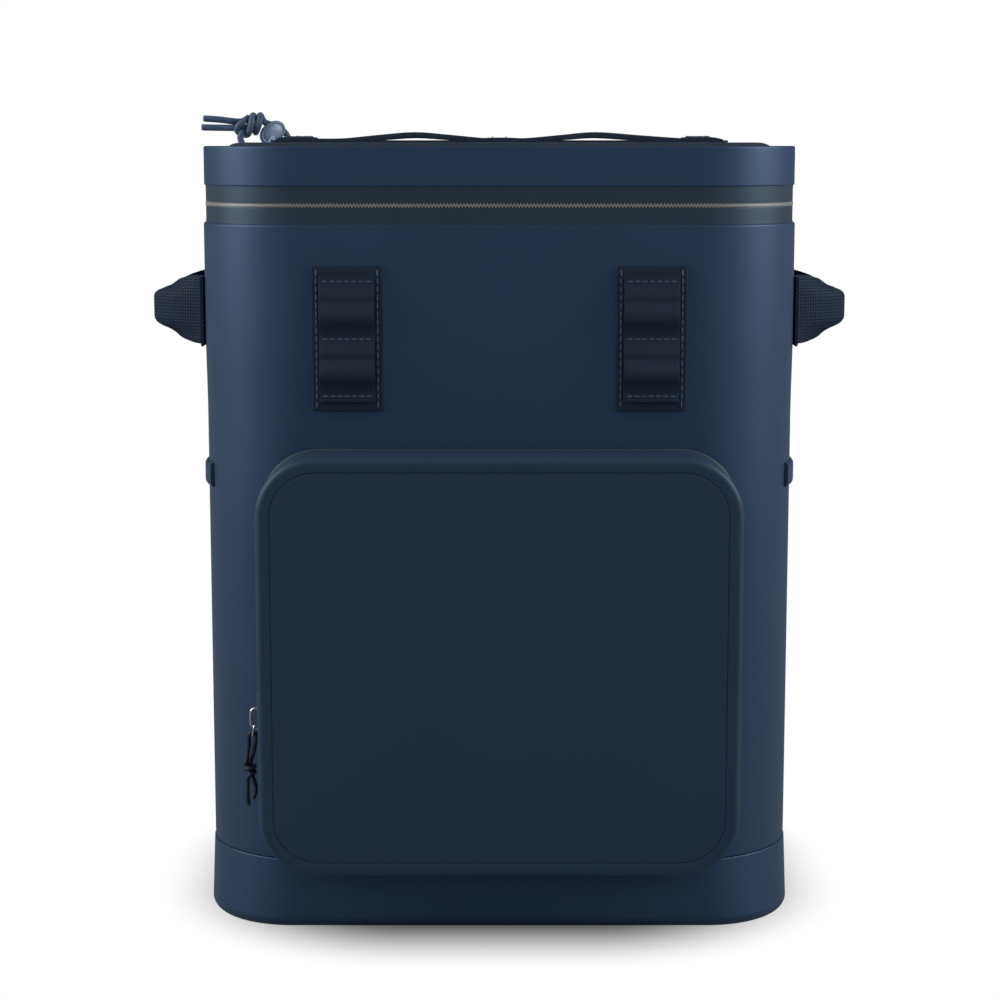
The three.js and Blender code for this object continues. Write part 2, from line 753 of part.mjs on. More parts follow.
// The pocket is a moulded shell, open towards the body. A zip strip and a welt carry it.
const pocketMiddle = BASE_HEIGHT + POCKET_ABOVE_BASE + POCKET_HEIGHT / 2;
const zipStripBack = WELT_THICK + 2 * GAP;
// Inset is a share of the way from the seam to the pocket's middle line, rise of the crown.
const CROWN_ROWS = [
  { inset: 0.2, rise: 0.45 },
  { inset: 0.5, rise: 0.85 },
  { inset: 0.9, rise: 1 },
];
function pocket() {
  const onFront = faceGroup(0, -halfDepth, pocketMiddle, 0);
  const halfX = POCKET_WIDTH / 2;
  const halfY = POCKET_HEIGHT / 2;
  const frame = (rows) => frameLoft(halfX, halfY, POCKET_CORNER, rows);
  const welt = [
    [-WELT_PROUD, GAP],
    [-WELT_PROUD, GAP + WELT_THICK],
    [STRIP_THICK, GAP + WELT_THICK],
    [STRIP_THICK, GAP],
  ];
  add(onFront, "pocket_welt", frame(welt), pocketFabric);

  const stripMiddle = zipStripBack + POCKET_ZIP_WIDTH / 2;
  const strip = [
    [POCKET_ZIP_RECESS, zipStripBack],
    [POCKET_ZIP_RECESS, stripMiddle - COIL_WIDTH / 2],
    [POCKET_ZIP_RECESS - COIL_PROUD, stripMiddle - COIL_WIDTH / 4],
    [POCKET_ZIP_RECESS - COIL_PROUD, stripMiddle + COIL_WIDTH / 4],
    [POCKET_ZIP_RECESS, stripMiddle + COIL_WIDTH / 2],
    [POCKET_ZIP_RECESS, zipStripBack + POCKET_ZIP_WIDTH],
    [STRIP_THICK, zipStripBack + POCKET_ZIP_WIDTH],
    [STRIP_THICK, zipStripBack],
  ];
  add(onFront, "pocket_zip", frame(strip), tapeFabric);

  const shellBack = zipStripBack + POCKET_ZIP_WIDTH + GAP;
  const seamOut = SEAM_INSET - SEAM_WIDTH / 2;
  const seamIn = SEAM_INSET + SEAM_WIDTH / 2;
  const crownSpan = halfY - seamIn;
  const rows = [
    ...rounded(POCKET_WALL, POCKET_DEPTH - POCKET_WALL, POCKET_RIM, -1),
    [POCKET_WALL, shellBack],
    [0, shellBack],
    ...rounded(0, POCKET_DEPTH, POCKET_RIM, -1).reverse(),
    [seamOut, POCKET_DEPTH],
    [SEAM_INSET, POCKET_DEPTH - SEAM_DEPTH],
    [seamIn, POCKET_DEPTH],
    ...CROWN_ROWS.map(({ inset, rise }) => [
      seamIn + inset * crownSpan,
      POCKET_DEPTH + rise * POCKET_CROWN,
    ]),
  ];
  add(onFront, "pocket_shell", loft(halfX, halfY, POCKET_CORNER, rows), pocketFabric);
}

// The pocket's slider sits on the zip strip's left side, and its ring, link and cord hang there.
// Local X runs to the front, Y is up and Z is away from the pocket's side.
function pocketPull() {
  const zipY = -halfDepth - zipStripBack - POCKET_ZIP_WIDTH / 2;
  const onSide = faceGroup(-POCKET_WIDTH / 2, zipY, POCKET_SLIDER_Z, -quarterTurn);
  const half = POCKET_SLIDER_HEIGHT / 2;
  const block = new THREE.BoxGeometry(
    POCKET_SLIDER_WIDTH,
    POCKET_SLIDER_HEIGHT,
    POCKET_SLIDER_FRONT + POCKET_SLIDER_BACK,
  ).translate(0, 0, (POCKET_SLIDER_FRONT - POCKET_SLIDER_BACK) / 2);
  const plateTop = half / 2;
  const plateHeight = plateTop + half + EYE_PLATE_HEIGHT;
  const eyePlate = plate(
    roundedShape(EYE_PLATE_WIDTH, plateHeight, EYE_PLATE_WIDTH / 2),
    EYE_PLATE_THICK,
    POCKET_SLIDER_FRONT - EYE_PLATE_THICK,
  ).translate(0, plateTop - plateHeight / 2, 0);
  const ringTop = RING_BELOW_SLIDER - (RING_HEIGHT - RING_WIRE) / 2;
  const hole = plate(
    roundedShape(EYE_HOLE_WIDTH, EYE_HOLE_HEIGHT, EYE_HOLE_WIDTH / 2),
    2 * EYE_PLATE_THICK,
    POCKET_SLIDER_FRONT - 1.5 * EYE_PLATE_THICK,
  ).translate(0, -ringTop, 0);
  add(onSide, "pocket_slider", cut(joined(block, eyePlate), hole), brightMetal);

  const ring = wireRing(RING_WIDTH, RING_HEIGHT, RING_WIRE, ROUND_SIDES / 2)
    .rotateY(quarterTurn)
    .translate(0, -RING_BELOW_SLIDER, RING_OUT);
  add(onSide, "pocket_pull_ring", ring, brightMetal);
  const link = wireRing(LINK_WIDTH, LINK_HEIGHT, LINK_WIRE, ROUND_SIDES / 2)
    .rotateX(radians(-LINK_LEAN))
    .translate(0, -LINK_BELOW_SLIDER, LINK_OUT);
  add(onSide, "pocket_pull_link", link, brightMetal);

  add(onSide, "pocket_cord_outer", cord(POCKET_CORD_OUTER, POCKET_CORD), darkCordFibre);
  add(onSide, "pocket_cord_inner", cord(POCKET_CORD_INNER, POCKET_CORD), darkCordFibre);
  add(onSide, "pocket_pull_knot", knot(POCKET_KNOT), darkCordFibre);
  add(onSide, "pocket_tail_outer", cord(POCKET_TAIL_OUTER, POCKET_CORD), darkCordFibre);
  add(onSide, "pocket_tail_inner", cord(POCKET_TAIL_INNER, POCKET_CORD), darkCordFibre);
}

// A loop of the lash strap, from one row of stitching up to the next. Along is a share of the
// pitch and rise a share of the loop's rise.
const LOOP_ROWS = [
  { along: 0, rise: 0 },
  { along: 0.08, rise: 0.03 },
  { along: 0.2, rise: 0.35 },
  { along: 0.32, rise: 0.9 },
  { along: 0.44, rise: 1 },
  { along: 0.54, rise: 0.75 },
  { along: 0.64, rise: 0.46 },
  { along: 0.74, rise: 0.52 },
  { along: 0.86, rise: 0.3 },
];
function webbingPanels() {
  const middle = shellTop - PANEL_BELOW_SHELL_TOP - PANEL_HEIGHT / 2;
  const strapZ = GAP + PANEL_THICK + GAP;
  const row = (along, rise) => ({
    along,
    under: strapZ + rise * LOOP_RISE,
    thick: LOOP_STRAP_THICK,
  });
  const rows = [
    row(-LOOP_PITCH - LOOP_HEM, 0),
    ...[-1, 0].flatMap((loop) =>
      LOOP_ROWS.map(({ along, rise }) => row((loop + along) * LOOP_PITCH, rise)),
    ),
    row(LOOP_PITCH, 0),
    row(LOOP_PITCH + LOOP_HEM, 0),
  ];
  for (const { name, sign } of sides) {
    const x = (sign * PANEL_SPACING) / 2;
    const onFront = faceGroup(x, -halfDepth - SHELL_SWELL, middle, 0);
    const panel = roundedShape(PANEL_WIDTH, PANEL_HEIGHT, PANEL_CORNER);
    add(onFront, `webbing_panel_${name}`, plate(panel, PANEL_THICK, GAP), webbing);
    const loops = stripAlong(rows, LOOP_STRAP_WIDTH).rotateZ(quarterTurn);
    add(onFront, `webbing_loops_${name}`, loops, webbing);
  }
}

// Half of a handle, from its sewn end to its middle. Along is a share of the half span, reach of
// the handle's reach, high of the webbing's width, and layers counts its thickness.
const HANDLE_ROWS = [
  { along: 1, reach: 0, high: 1, layers: 1 },
  { along: 0.69, reach: 0, high: 1, layers: 1 },
  { along: 0.62, reach: 0.12, high: 1, layers: 1 },
  { along: 0.51, reach: 0.45, high: 1, layers: 1 },
  { along: 0.4, reach: 0.72, high: 0.96, layers: 1.2 },
  { along: 0.28, reach: 0.9, high: 0.74, layers: 2 },
  { along: 0.15, reach: 0.98, high: 0.53, layers: 3.1 },
  { along: 0, reach: 1, high: 0.5, layers: 3.4 },
];
function sideHandles() {
  const middle = shellTop - HANDLE_BELOW_SHELL_TOP;
  const sewn = halfWidth + SHELL_SWELL + GAP + HANDLE_THICK / 2;
  const rows = [
    ...HANDLE_ROWS,
    ...HANDLE_ROWS.slice(0, -1).toReversed().map((row) => ({ ...row, along: -row.along })),
  ];
  for (const { name, sign } of sides) {
    const stations = rows.map(({ along, reach, high, layers }) => ({
      at: new THREE.Vector3(
        sign * (sewn + reach * HANDLE_REACH),
        (along * HANDLE_SPAN) / 2,
        middle,
      ),
      across: new THREE.Vector3(0, 0, 1),
      wide: high * HANDLE_WEBBING,
      thick: layers * HANDLE_THICK,
    }));
    add(model, `side_handle_${name}`, ribbon(stations), webbing);
  }
}

// A moulded tab on each side, which starts on the front corner's round.
function sideTabs() {
  const middle = shellTop - SIDE_TAB_BELOW_SHELL_TOP;
  const half = SIDE_TAB_HEIGHT / 2;
  const profile = [
    [GAP, middle - half],
    [GAP + SIDE_TAB_THICK, middle - half + SIDE_TAB_CHAMFER],
    [GAP + SIDE_TAB_THICK, middle + half - SIDE_TAB_CHAMFER],
    [GAP, middle + half],
  ];
  const round = outline(halfWidth, halfDepth, BODY_CORNER, -SIDE_TAB_WRAP, 0);
  const rear = { ...round.at(-1), y: round.at(-1).y + SIDE_TAB_LENGTH };
  for (const { name, sign } of sides) {
    const path = [...round, rear].map((point) => ({
      ...point,
      x: sign * point.x,
      nx: sign * point.nx,
    }));
    add(model, `side_tab_${name}`, sweep(path, profile), shellFabric);
  }
}

const backFace = halfDepth + SHELL_SWELL;
function backPad() {
  const middle = BASE_HEIGHT + BACK_PAD_ABOVE_BASE + BACK_PAD_HEIGHT / 2;
  const onBack = faceGroup(0, backFace, middle, Math.PI);
  const rows = [[0, GAP], ...rounded(0, GAP + BACK_PAD_THICK, BACK_PAD_EDGE, -1).reverse()];
  const pad = loft(BACK_PAD_WIDTH / 2, BACK_PAD_HEIGHT / 2, BACK_PAD_CORNER, rows);
  add(onBack, "back_pad", pad, padFabric);
}

// A padded strap, from the yoke over its arch and down. Fall is a share of the drop, reach of
// the reach, and wide and thick are shares of the strap's.
const STRAP_ROWS = [
  { fall: 0.02, reach: 0, wide: 0.84, thick: 0.35 },
  { fall: -0.03, reach: 0.03, wide: 0.86, thick: 0.45 },
  { fall: -0.07, reach: 0.14, wide: 0.92, thick: 0.75 },
  { fall: -0.09, reach: 0.36, wide: 0.98, thick: 1 },
  { fall: -0.06, reach: 0.64, wide: 1, thick: 1 },
  { fall: 0.04, reach: 0.87, wide: 1, thick: 1 },
  { fall: 0.2, reach: 1, wide: 1, thick: 1 },
  { fall: 0.4, reach: 1, wide: 1, thick: 1 },
  { fall: 0.6, reach: 0.89, wide: 0.95, thick: 1 },
  { fall: 0.78, reach: 0.73, wide: 0.82, thick: 0.9 },
  { fall: 0.92, reach: 0.6, wide: 0.66, thick: 0.65 },
  { fall: 1, reach: 0.52, wide: 0.6, thick: 0.5 },
];
function shoulderStraps() {
  const yokeMiddle = shellTop - YOKE_BELOW_SHELL_TOP - YOKE_HEIGHT / 2;
  const onBack = faceGroup(0, backFace, yokeMiddle, Math.PI);
  const yoke = roundedShape(YOKE_WIDTH, YOKE_HEIGHT, YOKE_CORNER);
  add(onBack, "strap_yoke", plate(yoke, YOKE_THICK, GAP), webbing);

  const rootOut = 2 * GAP + YOKE_THICK + (STRAP_ROWS[0].thick * STRAP_THICK) / 2;
  const across = new THREE.Vector3(1, 0, 0);
  // Places in the upright plane of one strap, by distance off the back and height.
  const place = (x, out, z) => new THREE.Vector3(x, backFace + out, z);
  const last = STRAP_ROWS.at(-1);
  const before = STRAP_ROWS.at(-2);
  const down = new THREE.Vector2(
    (last.reach - before.reach) * STRAP_REACH,
    (before.fall - last.fall) * STRAP_DROP,
  ).normalize();
  const off = new THREE.Vector2(-down.y, down.x);
  const endOut = rootOut + last.reach * STRAP_REACH;
  const endZ = yokeMiddle - last.fall * STRAP_DROP;
  const slot = (BUCKLE_HEIGHT - 3 * BUCKLE_BAR) / 2;
  const topBar = GAP + BUCKLE_BAR / 2;
  const midBar = topBar + BUCKLE_BAR + slot;
  const lowBar = midBar + BUCKLE_BAR + slot;
  const webOff = BUCKLE_THICK / 2 + WEB_THICK / 2 + 2 * GAP;
  const padOff = (STRAP_ROWS.at(-2).thick * STRAP_THICK) / 2 + WEB_THICK / 2 + 2 * GAP;
  const clearBar = BUCKLE_BAR / 2 + 2 * GAP;
  // The webbing weaves behind the outer bars and in front of the middle one. Travel runs down
  // the strap from its padded end, and rise is away from the body.
  const weave = [
    { travel: -2 * BUCKLE_BAR, rise: -padOff },
    { travel: -GAP, rise: -padOff },
    { travel: topBar - BUCKLE_BAR / 4, rise: -webOff },
    { travel: topBar + clearBar, rise: -webOff },
    { travel: midBar - clearBar, rise: webOff },
    { travel: midBar + clearBar, rise: webOff },
    { travel: lowBar - clearBar, rise: -webOff },
    { travel: lowBar + clearBar, rise: -webOff },
  ];
  const anchorLow = BASE_HEIGHT + ANCHOR_ABOVE_BASE;
  const anchorOut = GAP + WEB_THICK / 2;

  for (const { name, sign } of sides) {
    const drift = (fall) =>
      sign * THREE.MathUtils.lerp(STRAP_TOP_X, STRAP_LOW_X, THREE.MathUtils.smoothstep(fall, 0, 0.8));
    const padding = STRAP_ROWS.map(({ fall, reach, wide, thick }) => ({
      at: place(drift(fall), rootOut + reach * STRAP_REACH, yokeMiddle - fall * STRAP_DROP),
      across,
      wide: wide * STRAP_WIDTH,
      thick: thick * STRAP_THICK,
    }));
    add(model, `shoulder_strap_${name}`, ribbon(padding), padFabric);

    const lowX = drift(1);
    const onStrap = (travel, rise) =>
      place(
        lowX,
        endOut + down.x * travel + off.x * rise,
        endZ + down.y * travel + off.y * rise,
      );
    const frame = roundedShape(BUCKLE_WIDTH, BUCKLE_HEIGHT, BUCKLE_CORNER);
    for (const bar of [topBar, midBar]) {
      const window = roundedShape(BUCKLE_WIDTH - 2 * BUCKLE_BAR, slot, BUCKLE_CORNER / 4);
      const centre = BUCKLE_HEIGHT / 2 - (bar - GAP) - BUCKLE_BAR / 2 - slot / 2;
      frame.holes.push(
        new THREE.Path(window.getPoints().map((p) => new THREE.Vector2(p.x, p.y + centre)).reverse()),
      );
    }
    const buckle = plate(frame, BUCKLE_THICK, -BUCKLE_THICK / 2);
    const middle = onStrap(GAP + BUCKLE_HEIGHT / 2, 0);
    buckle.applyMatrix4(
      new THREE.Matrix4().makeBasis(
        new THREE.Vector3(-1, 0, 0),
        new THREE.Vector3(0, -down.x, -down.y),
        new THREE.Vector3(0, off.x, off.y),
      ),
    );
    buckle.translate(middle.x, middle.y, middle.z);
    add(model, `strap_buckle_${name}`, buckle, buckleMoulding);

    const web = [
      ...weave.map(({ travel, rise }) => onStrap(travel, rise)),
      place(lowX, anchorOut, anchorLow + ANCHOR_HEIGHT),
      place(lowX, anchorOut, anchorLow),
    ].map((at) => ({ at, across, wide: WEB_WIDTH, thick: WEB_THICK }));
    add(model, `strap_webbing_${name}`, ribbon(web), webbing);
  }
}

basePanel();
bodyShell();
lid();
zipBand();
lidPanel();
lidStrap();
mainPull();
pocket();
pocketPull();
webbingPanels();
sideHandles();
sideTabs();
backPad();
shoulderStraps();

export default model;
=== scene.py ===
"""The looks of a soft-sided cooler backpack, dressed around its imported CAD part.

Lengths are metres, +Z is up and the front faces -Y, as in the part. Each sub-assembly is a class
that holds its sizes, builds its meshes and gives them their finishes. Most pieces take their
place from the boxes of the CAD nodes that they stand for.
"""

import logging
import math
from collections.abc import Callable, Sequence
from dataclasses import dataclass, field
from enum import Enum

import bmesh
import bpy
import numpy as np
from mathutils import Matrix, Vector

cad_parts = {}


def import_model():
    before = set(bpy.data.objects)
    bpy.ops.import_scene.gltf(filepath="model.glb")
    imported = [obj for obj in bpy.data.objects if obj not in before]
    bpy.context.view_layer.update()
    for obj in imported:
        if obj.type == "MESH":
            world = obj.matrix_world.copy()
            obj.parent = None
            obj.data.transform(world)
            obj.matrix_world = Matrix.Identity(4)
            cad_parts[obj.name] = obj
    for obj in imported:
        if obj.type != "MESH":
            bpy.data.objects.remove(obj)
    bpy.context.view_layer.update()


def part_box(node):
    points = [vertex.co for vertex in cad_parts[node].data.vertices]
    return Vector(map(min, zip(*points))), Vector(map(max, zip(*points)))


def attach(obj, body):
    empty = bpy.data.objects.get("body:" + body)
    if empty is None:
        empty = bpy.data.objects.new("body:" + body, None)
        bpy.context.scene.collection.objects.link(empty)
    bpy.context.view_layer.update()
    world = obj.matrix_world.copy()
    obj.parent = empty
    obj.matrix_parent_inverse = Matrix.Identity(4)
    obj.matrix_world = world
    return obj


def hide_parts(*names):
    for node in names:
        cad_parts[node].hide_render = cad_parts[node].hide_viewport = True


LOG = logging.getLogger("cooler_backpack")
BODY = "root"
CLOTH_UV = "cloth"
# Width of a cord's cut end, as a share of the cord's.
CORD_END = 0.75

Piece = bpy.types.Object
Colour = tuple[float, float, float]
Row = tuple[float, float]
Place = Callable[[float, float, float], Vector]
Line = tuple[float, float, float, float]
StitchRow = tuple[Vector, Vector, Vector]


class Side(Enum):
    """The bag's two sides, as seen from the front."""

    LEFT = -1
    RIGHT = 1

    @property
    def label(self) -> str:
        """The side's name in node and piece names."""
        return self.name.lower()


class Weave(Enum):
    """How the threads of a cloth cross."""

    PLAIN = "plain"
    RIBBED = "ribbed"


# Outlines, splines and meshes


@dataclass(frozen=True)
class RimPoint:
    """A point of an outline with its outward normal and the distance travelled to it."""

    x: float
    y: float
    nx: float
    ny: float
    run: float


def rim(
    half_x: float,
    half_y: float,
    radius: float,
    start: float = 0.0,
    end: float = 360.0,
    corner_steps: int = 20,
) -> list[RimPoint]:
    """Points round a rounded rectangle, anticlockwise.

    Args:
        half_x: Half of its width.
        half_y: Half of its depth.
        radius: Radius of its corners.
        start: Direction of the first point in degrees, with 0 along +X.
        end: Direction of the last point.
        corner_steps: Steps in a whole corner.

    Returns:
        The points in order. A whole turn leaves out the repeated last point.
    """
    radius = max(radius, 0.0005)
    found: list[RimPoint] = []
    run = 0.0
    quarter_start = math.floor(start / 90) * 90
    while quarter_start < end:
        low, high = max(start, quarter_start), min(end, quarter_start + 90)
        quarter = int(quarter_start // 90) % 4
        centre_x = (half_x - radius) * (1 if quarter in (0, 3) else -1)
        centre_y = (half_y - radius) * (1 if quarter < 2 else -1)
        steps = max(2, round(corner_steps * (high - low) / 90))
        for i in range(steps + 1):
            angle = math.radians(low + (high - low) * i / steps)
            nx, ny = math.cos(angle), math.sin(angle)
            x, y = centre_x + radius * nx, centre_y + radius * ny
            if found:
                run += math.hypot(x - found[-1].x, y - found[-1].y)
            found.append(RimPoint(x, y, nx, ny, run))
        quarter_start += 90
    return found


def fillet(inset: float, height: float, radius: float, up: int, steps: int = 6) -> list[Row]:
    """Rows of a rounded edge, from its flat face to its upright side.

    Args:
        inset: Inset of the corner that the rounding replaces.
        height: Height of that corner.
        radius: Radius of the rounding.
        up: 1 if the side stands above the flat face, else -1.
        steps: Steps in the quarter turn.

    Returns:
        Pairs of inset and height.
    """
    turns = [math.pi / 2 * i / steps for i in range(steps + 1)]
    return [
        (inset + radius * (1 - math.sin(a)), height + up * radius * (1 - math.cos(a)))
        for a in turns
    ]


def spline(points: Sequence[Sequence[float]], spans: int) -> np.ndarray:
    """Points along a smooth curve through the given ones.

    Args:
        points: Rows of equally many numbers.
        spans: Steps from each point to the next.

    Returns:
        The rows of the curve, the given points among them.
    """
    given = np.array([list(p) for p in points], float)
    padded = np.vstack([2 * given[0] - given[1], given, 2 * given[-1] - given[-2]])
    out = []
    for i in range(1, len(padded) - 2):
        a, b, c, d = padded[i - 1 : i + 3]
        for k in range(spans):
            t = k / spans
            square = (2 * a - 5 * b + 4 * c - d) * t**2
            cube = (3 * b - a - 3 * c + d) * t**3
            out.append(0.5 * (2 * b + (c - a) * t + square + cube))
    out.append(padded[-2])
    return np.array(out)


def upright(x: float, y: float, z: float) -> Vector:
    """Places a loft's point as it is, with its height along +Z."""
    return Vector((x, y, z))


def linked(name: str, data: bpy.types.ID) -> Piece:
    """Makes an object of its data and puts it in the scene."""
    made = bpy.data.objects.new(name, data)
    bpy.context.scene.collection.objects.link(made)
    return made


def shaded(name: str, mesh: bpy.types.Mesh, sharp: float) -> Piece:
    """Makes a smooth shaded object of a mesh.

    Args:
        name: Its name.
        mesh: The mesh.
        sharp: Edges bent by more than this many degrees stay sharp.

    Returns:
        The object.
    """
    mesh.shade_smooth()
    mesh.set_sharp_from_angle(angle=math.radians(sharp))
    piece = linked(name, mesh)
    piece.modifiers.new("even shading", "WEIGHTED_NORMAL").keep_sharp = True
    return piece


def evaluated(piece: Piece, name: str) -> bpy.types.Mesh:
    """A new mesh of an object's shape with its modifiers, under the given name."""
    depsgraph = bpy.context.evaluated_depsgraph_get()
    mesh = bpy.data.meshes.new_from_object(piece.evaluated_get(depsgraph))
    mesh.name = name
    return mesh


class Mesher:
    """Collects faces with their cloth coordinates, and makes one mesh object of them."""

    def __init__(self) -> None:
        """Starts empty."""
        self.points: list[Vector] = []
        self.faces: list[list[int]] = []
        self.uvs: list[tuple[float, float]] = []

    def grid(
        self,
        rings: Sequence[Sequence[Vector]],
        us: Sequence[float],
        vs: Sequence[float],
        loop: bool = False,
    ) -> "Mesher":
        """Adds a surface through closed rings of equally many points.

        Args:
            rings: The rings.
            us: Cloth coordinate round a ring, one for each point and one more.
            vs: Cloth coordinate along, one for each ring, and one more if the rings close.
            loop: Whether the last ring joins the first. If not, the ends get flat caps.

        Returns:
            This mesher.
        """
        first, count = len(self.points), len(rings[0])
        for ring in rings:
            self.points.extend(ring)
        for i in range(len(rings) if loop else len(rings) - 1):
            here, there = first + i * count, first + (i + 1) % len(rings) * count
            for j in range(count):
                k = (j + 1) % count
                self.faces.append([here + j, here + k, there + k, there + j])
                corners = ((j, i), (j + 1, i), (j + 1, i + 1), (j, i + 1))
                self.uvs += [(us[a], vs[b]) for a, b in corners]
        if not loop:
            self.cap(list(range(first, first + count))[::-1])
            self.cap(list(range(len(self.points) - count, len(self.points))))
        return self

    def cap(self, ring: list[int]) -> None:
        """Closes a ring with one flat face."""
        pairs = zip(ring, ring[1:] + ring[:1], strict=True)
        normal = sum((self.points[a].cross(self.points[b]) for a, b in pairs), Vector())
        side = normal.orthogonal().normalized()
        other = normal.normalized().cross(side)
        self.faces.append(ring)
        self.uvs += [(self.points[i].dot(side), self.points[i].dot(other)) for i in ring]

    def block(self, corners: np.ndarray, faces: Sequence[Sequence[int]]) -> None:
        """Adds a small closed block with the given corners and faces."""
        first = len(self.points)
        self.points.extend(Vector(c) for c in corners)
        for face in faces:
            self.faces.append([first + i for i in face])
            self.uvs += [(corners[i][0], corners[i][2]) for i in face]

    def build(self, name: str, sharp: float = 38.0) -> Piece:
        """Makes the object.

        Args:
            name: Its name.
            sharp: Edges bent by more than this many degrees stay sharp.

        Returns:
            The object, smooth shaded, with its faces pointing out.
        """
        mesh = bpy.data.meshes.new(name)
        mesh.from_pydata([tuple(p) for p in self.points], [], self.faces)
        layer = mesh.uv_layers.new(name=CLOTH_UV)
        layer.data.foreach_set("uv", np.array(self.uvs, np.float32).ravel())
        work = bmesh.new()
        work.from_mesh(mesh)
        bmesh.ops.dissolve_degenerate(work, dist=1e-7, edges=work.edges[:])
        bmesh.ops.recalc_face_normals(work, faces=work.faces[:])
        work.to_mesh(mesh)
        work.free()
        return shaded(name, mesh, sharp)


def loft(
    name: str,
    half_x: float,
    half_y: float,
    radius: float,
    rows: Sequence[Sequence[float]],
    place: Place = upright,
    closed: bool = False,
    corner_steps: int = 20,
) -> Piece:
    """A solid through rounded rectangles.

    Args:
        name: Name of the piece.
        half_x: Half of the outline's width.
        half_y: Half of the outline's depth.
        radius: Radius of the outline's corners.
        rows: Inset from the outline and height of each rectangle, and its own corner radius
            before the inset if it has one.
        place: Puts a local point in the frame.
        closed: Whether the last row joins the first, which makes a frame.
        corner_steps: Steps in each corner.

    Returns:
        The object.
    """
    whole = rim(half_x, half_y, radius, corner_steps=corner_steps)
    us = [p.run for p in whole] + [whole[-1].run + 0.001]
    rings, vs, before = [], [], rows[0]
    for inset, height, *own in rows:
        corner = own[0] if own else radius
        turn = max(corner - inset, min(corner, 0.2 * (min(half_x, half_y) - inset)))
        ring = rim(half_x - inset, half_y - inset, turn, corner_steps=corner_steps)
        rings.append([place(p.x, p.y, height) for p in ring])
        step = math.hypot(inset - before[0], height - before[1])
        vs.append((vs[-1] if vs else 0.0) + step)
        before = (inset, height)
    vs.append(vs[-1] + math.hypot(rows[0][0] - before[0], rows[0][1] - before[1]))
    return Mesher().grid(rings, us, vs, loop=closed).build(name)


def sweep(
    name: str, path: Sequence[RimPoint], profile: Sequence[Row], side: int = 1
) -> Piece:
    """A strip with the given closed profile along an open outline.

    Args:
        name: Name of the piece.
        path: The outline.
        profile: Outward and height values.
        side: 1, or -1 to mirror it in X.

    Returns:
        The object.
    """
    us = [0.0]
    for a, b in zip(profile, [*profile[1:], profile[0]], strict=True):
        us.append(us[-1] + math.dist(a, b))
    rings = [
        [Vector((side * (p.x + p.nx * out), p.y + p.ny * out, z)) for out, z in profile]
        for p in path
    ]
    return Mesher().grid(rings, us, [p.run for p in path]).build(name)


@dataclass(frozen=True)
class Station:
    """One place along a strap: its middle, its width's direction, and its section's size."""

    at: Vector
    across: Vector
    wide: float
    thick: float


def strap_section(wide: float, thick: float, fullness: float, steps: int) -> list[Row]:
    """Points round a strap's section.

    Args:
        wide: Its width.
        thick: Its thickness.
        fullness: Power of the rounding. 2 is an ellipse, and more is flatter with rounder edges.
        steps: Points in a quarter.

    Returns:
        Pairs of distance across and distance off the middle.
    """
    power = 2 / fullness
    points = []
    for i in range(4 * steps):
        angle = math.pi / 2 * i / steps
        cos, sin = math.cos(angle), math.sin(angle)
        u = math.copysign(abs(cos) ** power, cos) * wide / 2
        points.append((u, math.copysign(abs(sin) ** power, sin) * thick / 2))
    return points


def strap(
    name: str, stations: Sequence[Station], fullness: float = 9.0, steps: int = 5
) -> Piece:
    """A strap or pad through stations.

    Args:
        name: Name of the piece.
        stations: Its places in order.
        fullness: See strap_section.
        steps: See strap_section.

    Returns:
        The object, whose cloth coordinates run across and along it.
    """
    rows, vs, run = [], [], 0.0
    for i, station in enumerate(stations):
        before = stations[max(i - 1, 0)].at
        after = stations[min(i + 1, len(stations) - 1)].at
        normal = (after - before).cross(station.across).normalized()
        section = strap_section(station.wide, station.thick, fullness, steps)
        rows.append([station.at + station.across * u + normal * w for u, w in section])
        run += (station.at - before).length
        vs.append(run)
    widest = strap_section(max(s.wide for s in stations), stations[0].thick, fullness, steps)
    us = [u for u, _ in widest] + [widest[0][0]]
    return Mesher().grid(rows, us, vs).build(name, sharp=60)


def circle(middle: Vector, side: Vector, other: Vector, reach: float, sides: int) -> list[Vector]:
    """Points round a circle.

    Args:
        middle: Its middle.
        side: A direction in its plane.
        other: The direction at right angles to that.
        reach: Its radius.
        sides: How many points.

    Returns:
        The points in order.
    """
    turns = [2 * math.pi * j / sides for j in range(sides)]
    return [middle + (side * math.cos(a) + other * math.sin(a)) * reach for a in turns]


def travelled(line: np.ndarray) -> list[float]:
    """Distance travelled to each point of a line."""
    return [0.0, *np.cumsum(np.linalg.norm(np.diff(line, axis=0), axis=1)).tolist()]


def tube(name: str, line: np.ndarray, diameter: float, sides: int = 12) -> Piece:
    """A round cord along a line of points, with slightly narrowed ends.

    Args:
        name: Name of the piece.
        line: The points that it follows.
        diameter: Its diameter.
        sides: Sides of its section.

    Returns:
        The object.
    """
    steps = np.gradient(line, axis=0)
    steps /= np.linalg.norm(steps, axis=1)[:, None]
    side = Vector(steps[0]).orthogonal().normalized()
    rings = []
    for i, (point, step) in enumerate(zip(line, steps, strict=True)):
        way = Vector(step)
        side = (side - way * side.dot(way)).normalized()
        reach = diameter / 2 * (CORD_END if i in (0, len(line) - 1) else 1.0)
        rings.append(circle(Vector(point), side, way.cross(side), reach, sides))
    around = [math.pi * diameter * j / sides for j in range(sides + 1)]
    return Mesher().grid(rings, around, travelled(line)).build(name, sharp=70)


# Node groups that several finishes share


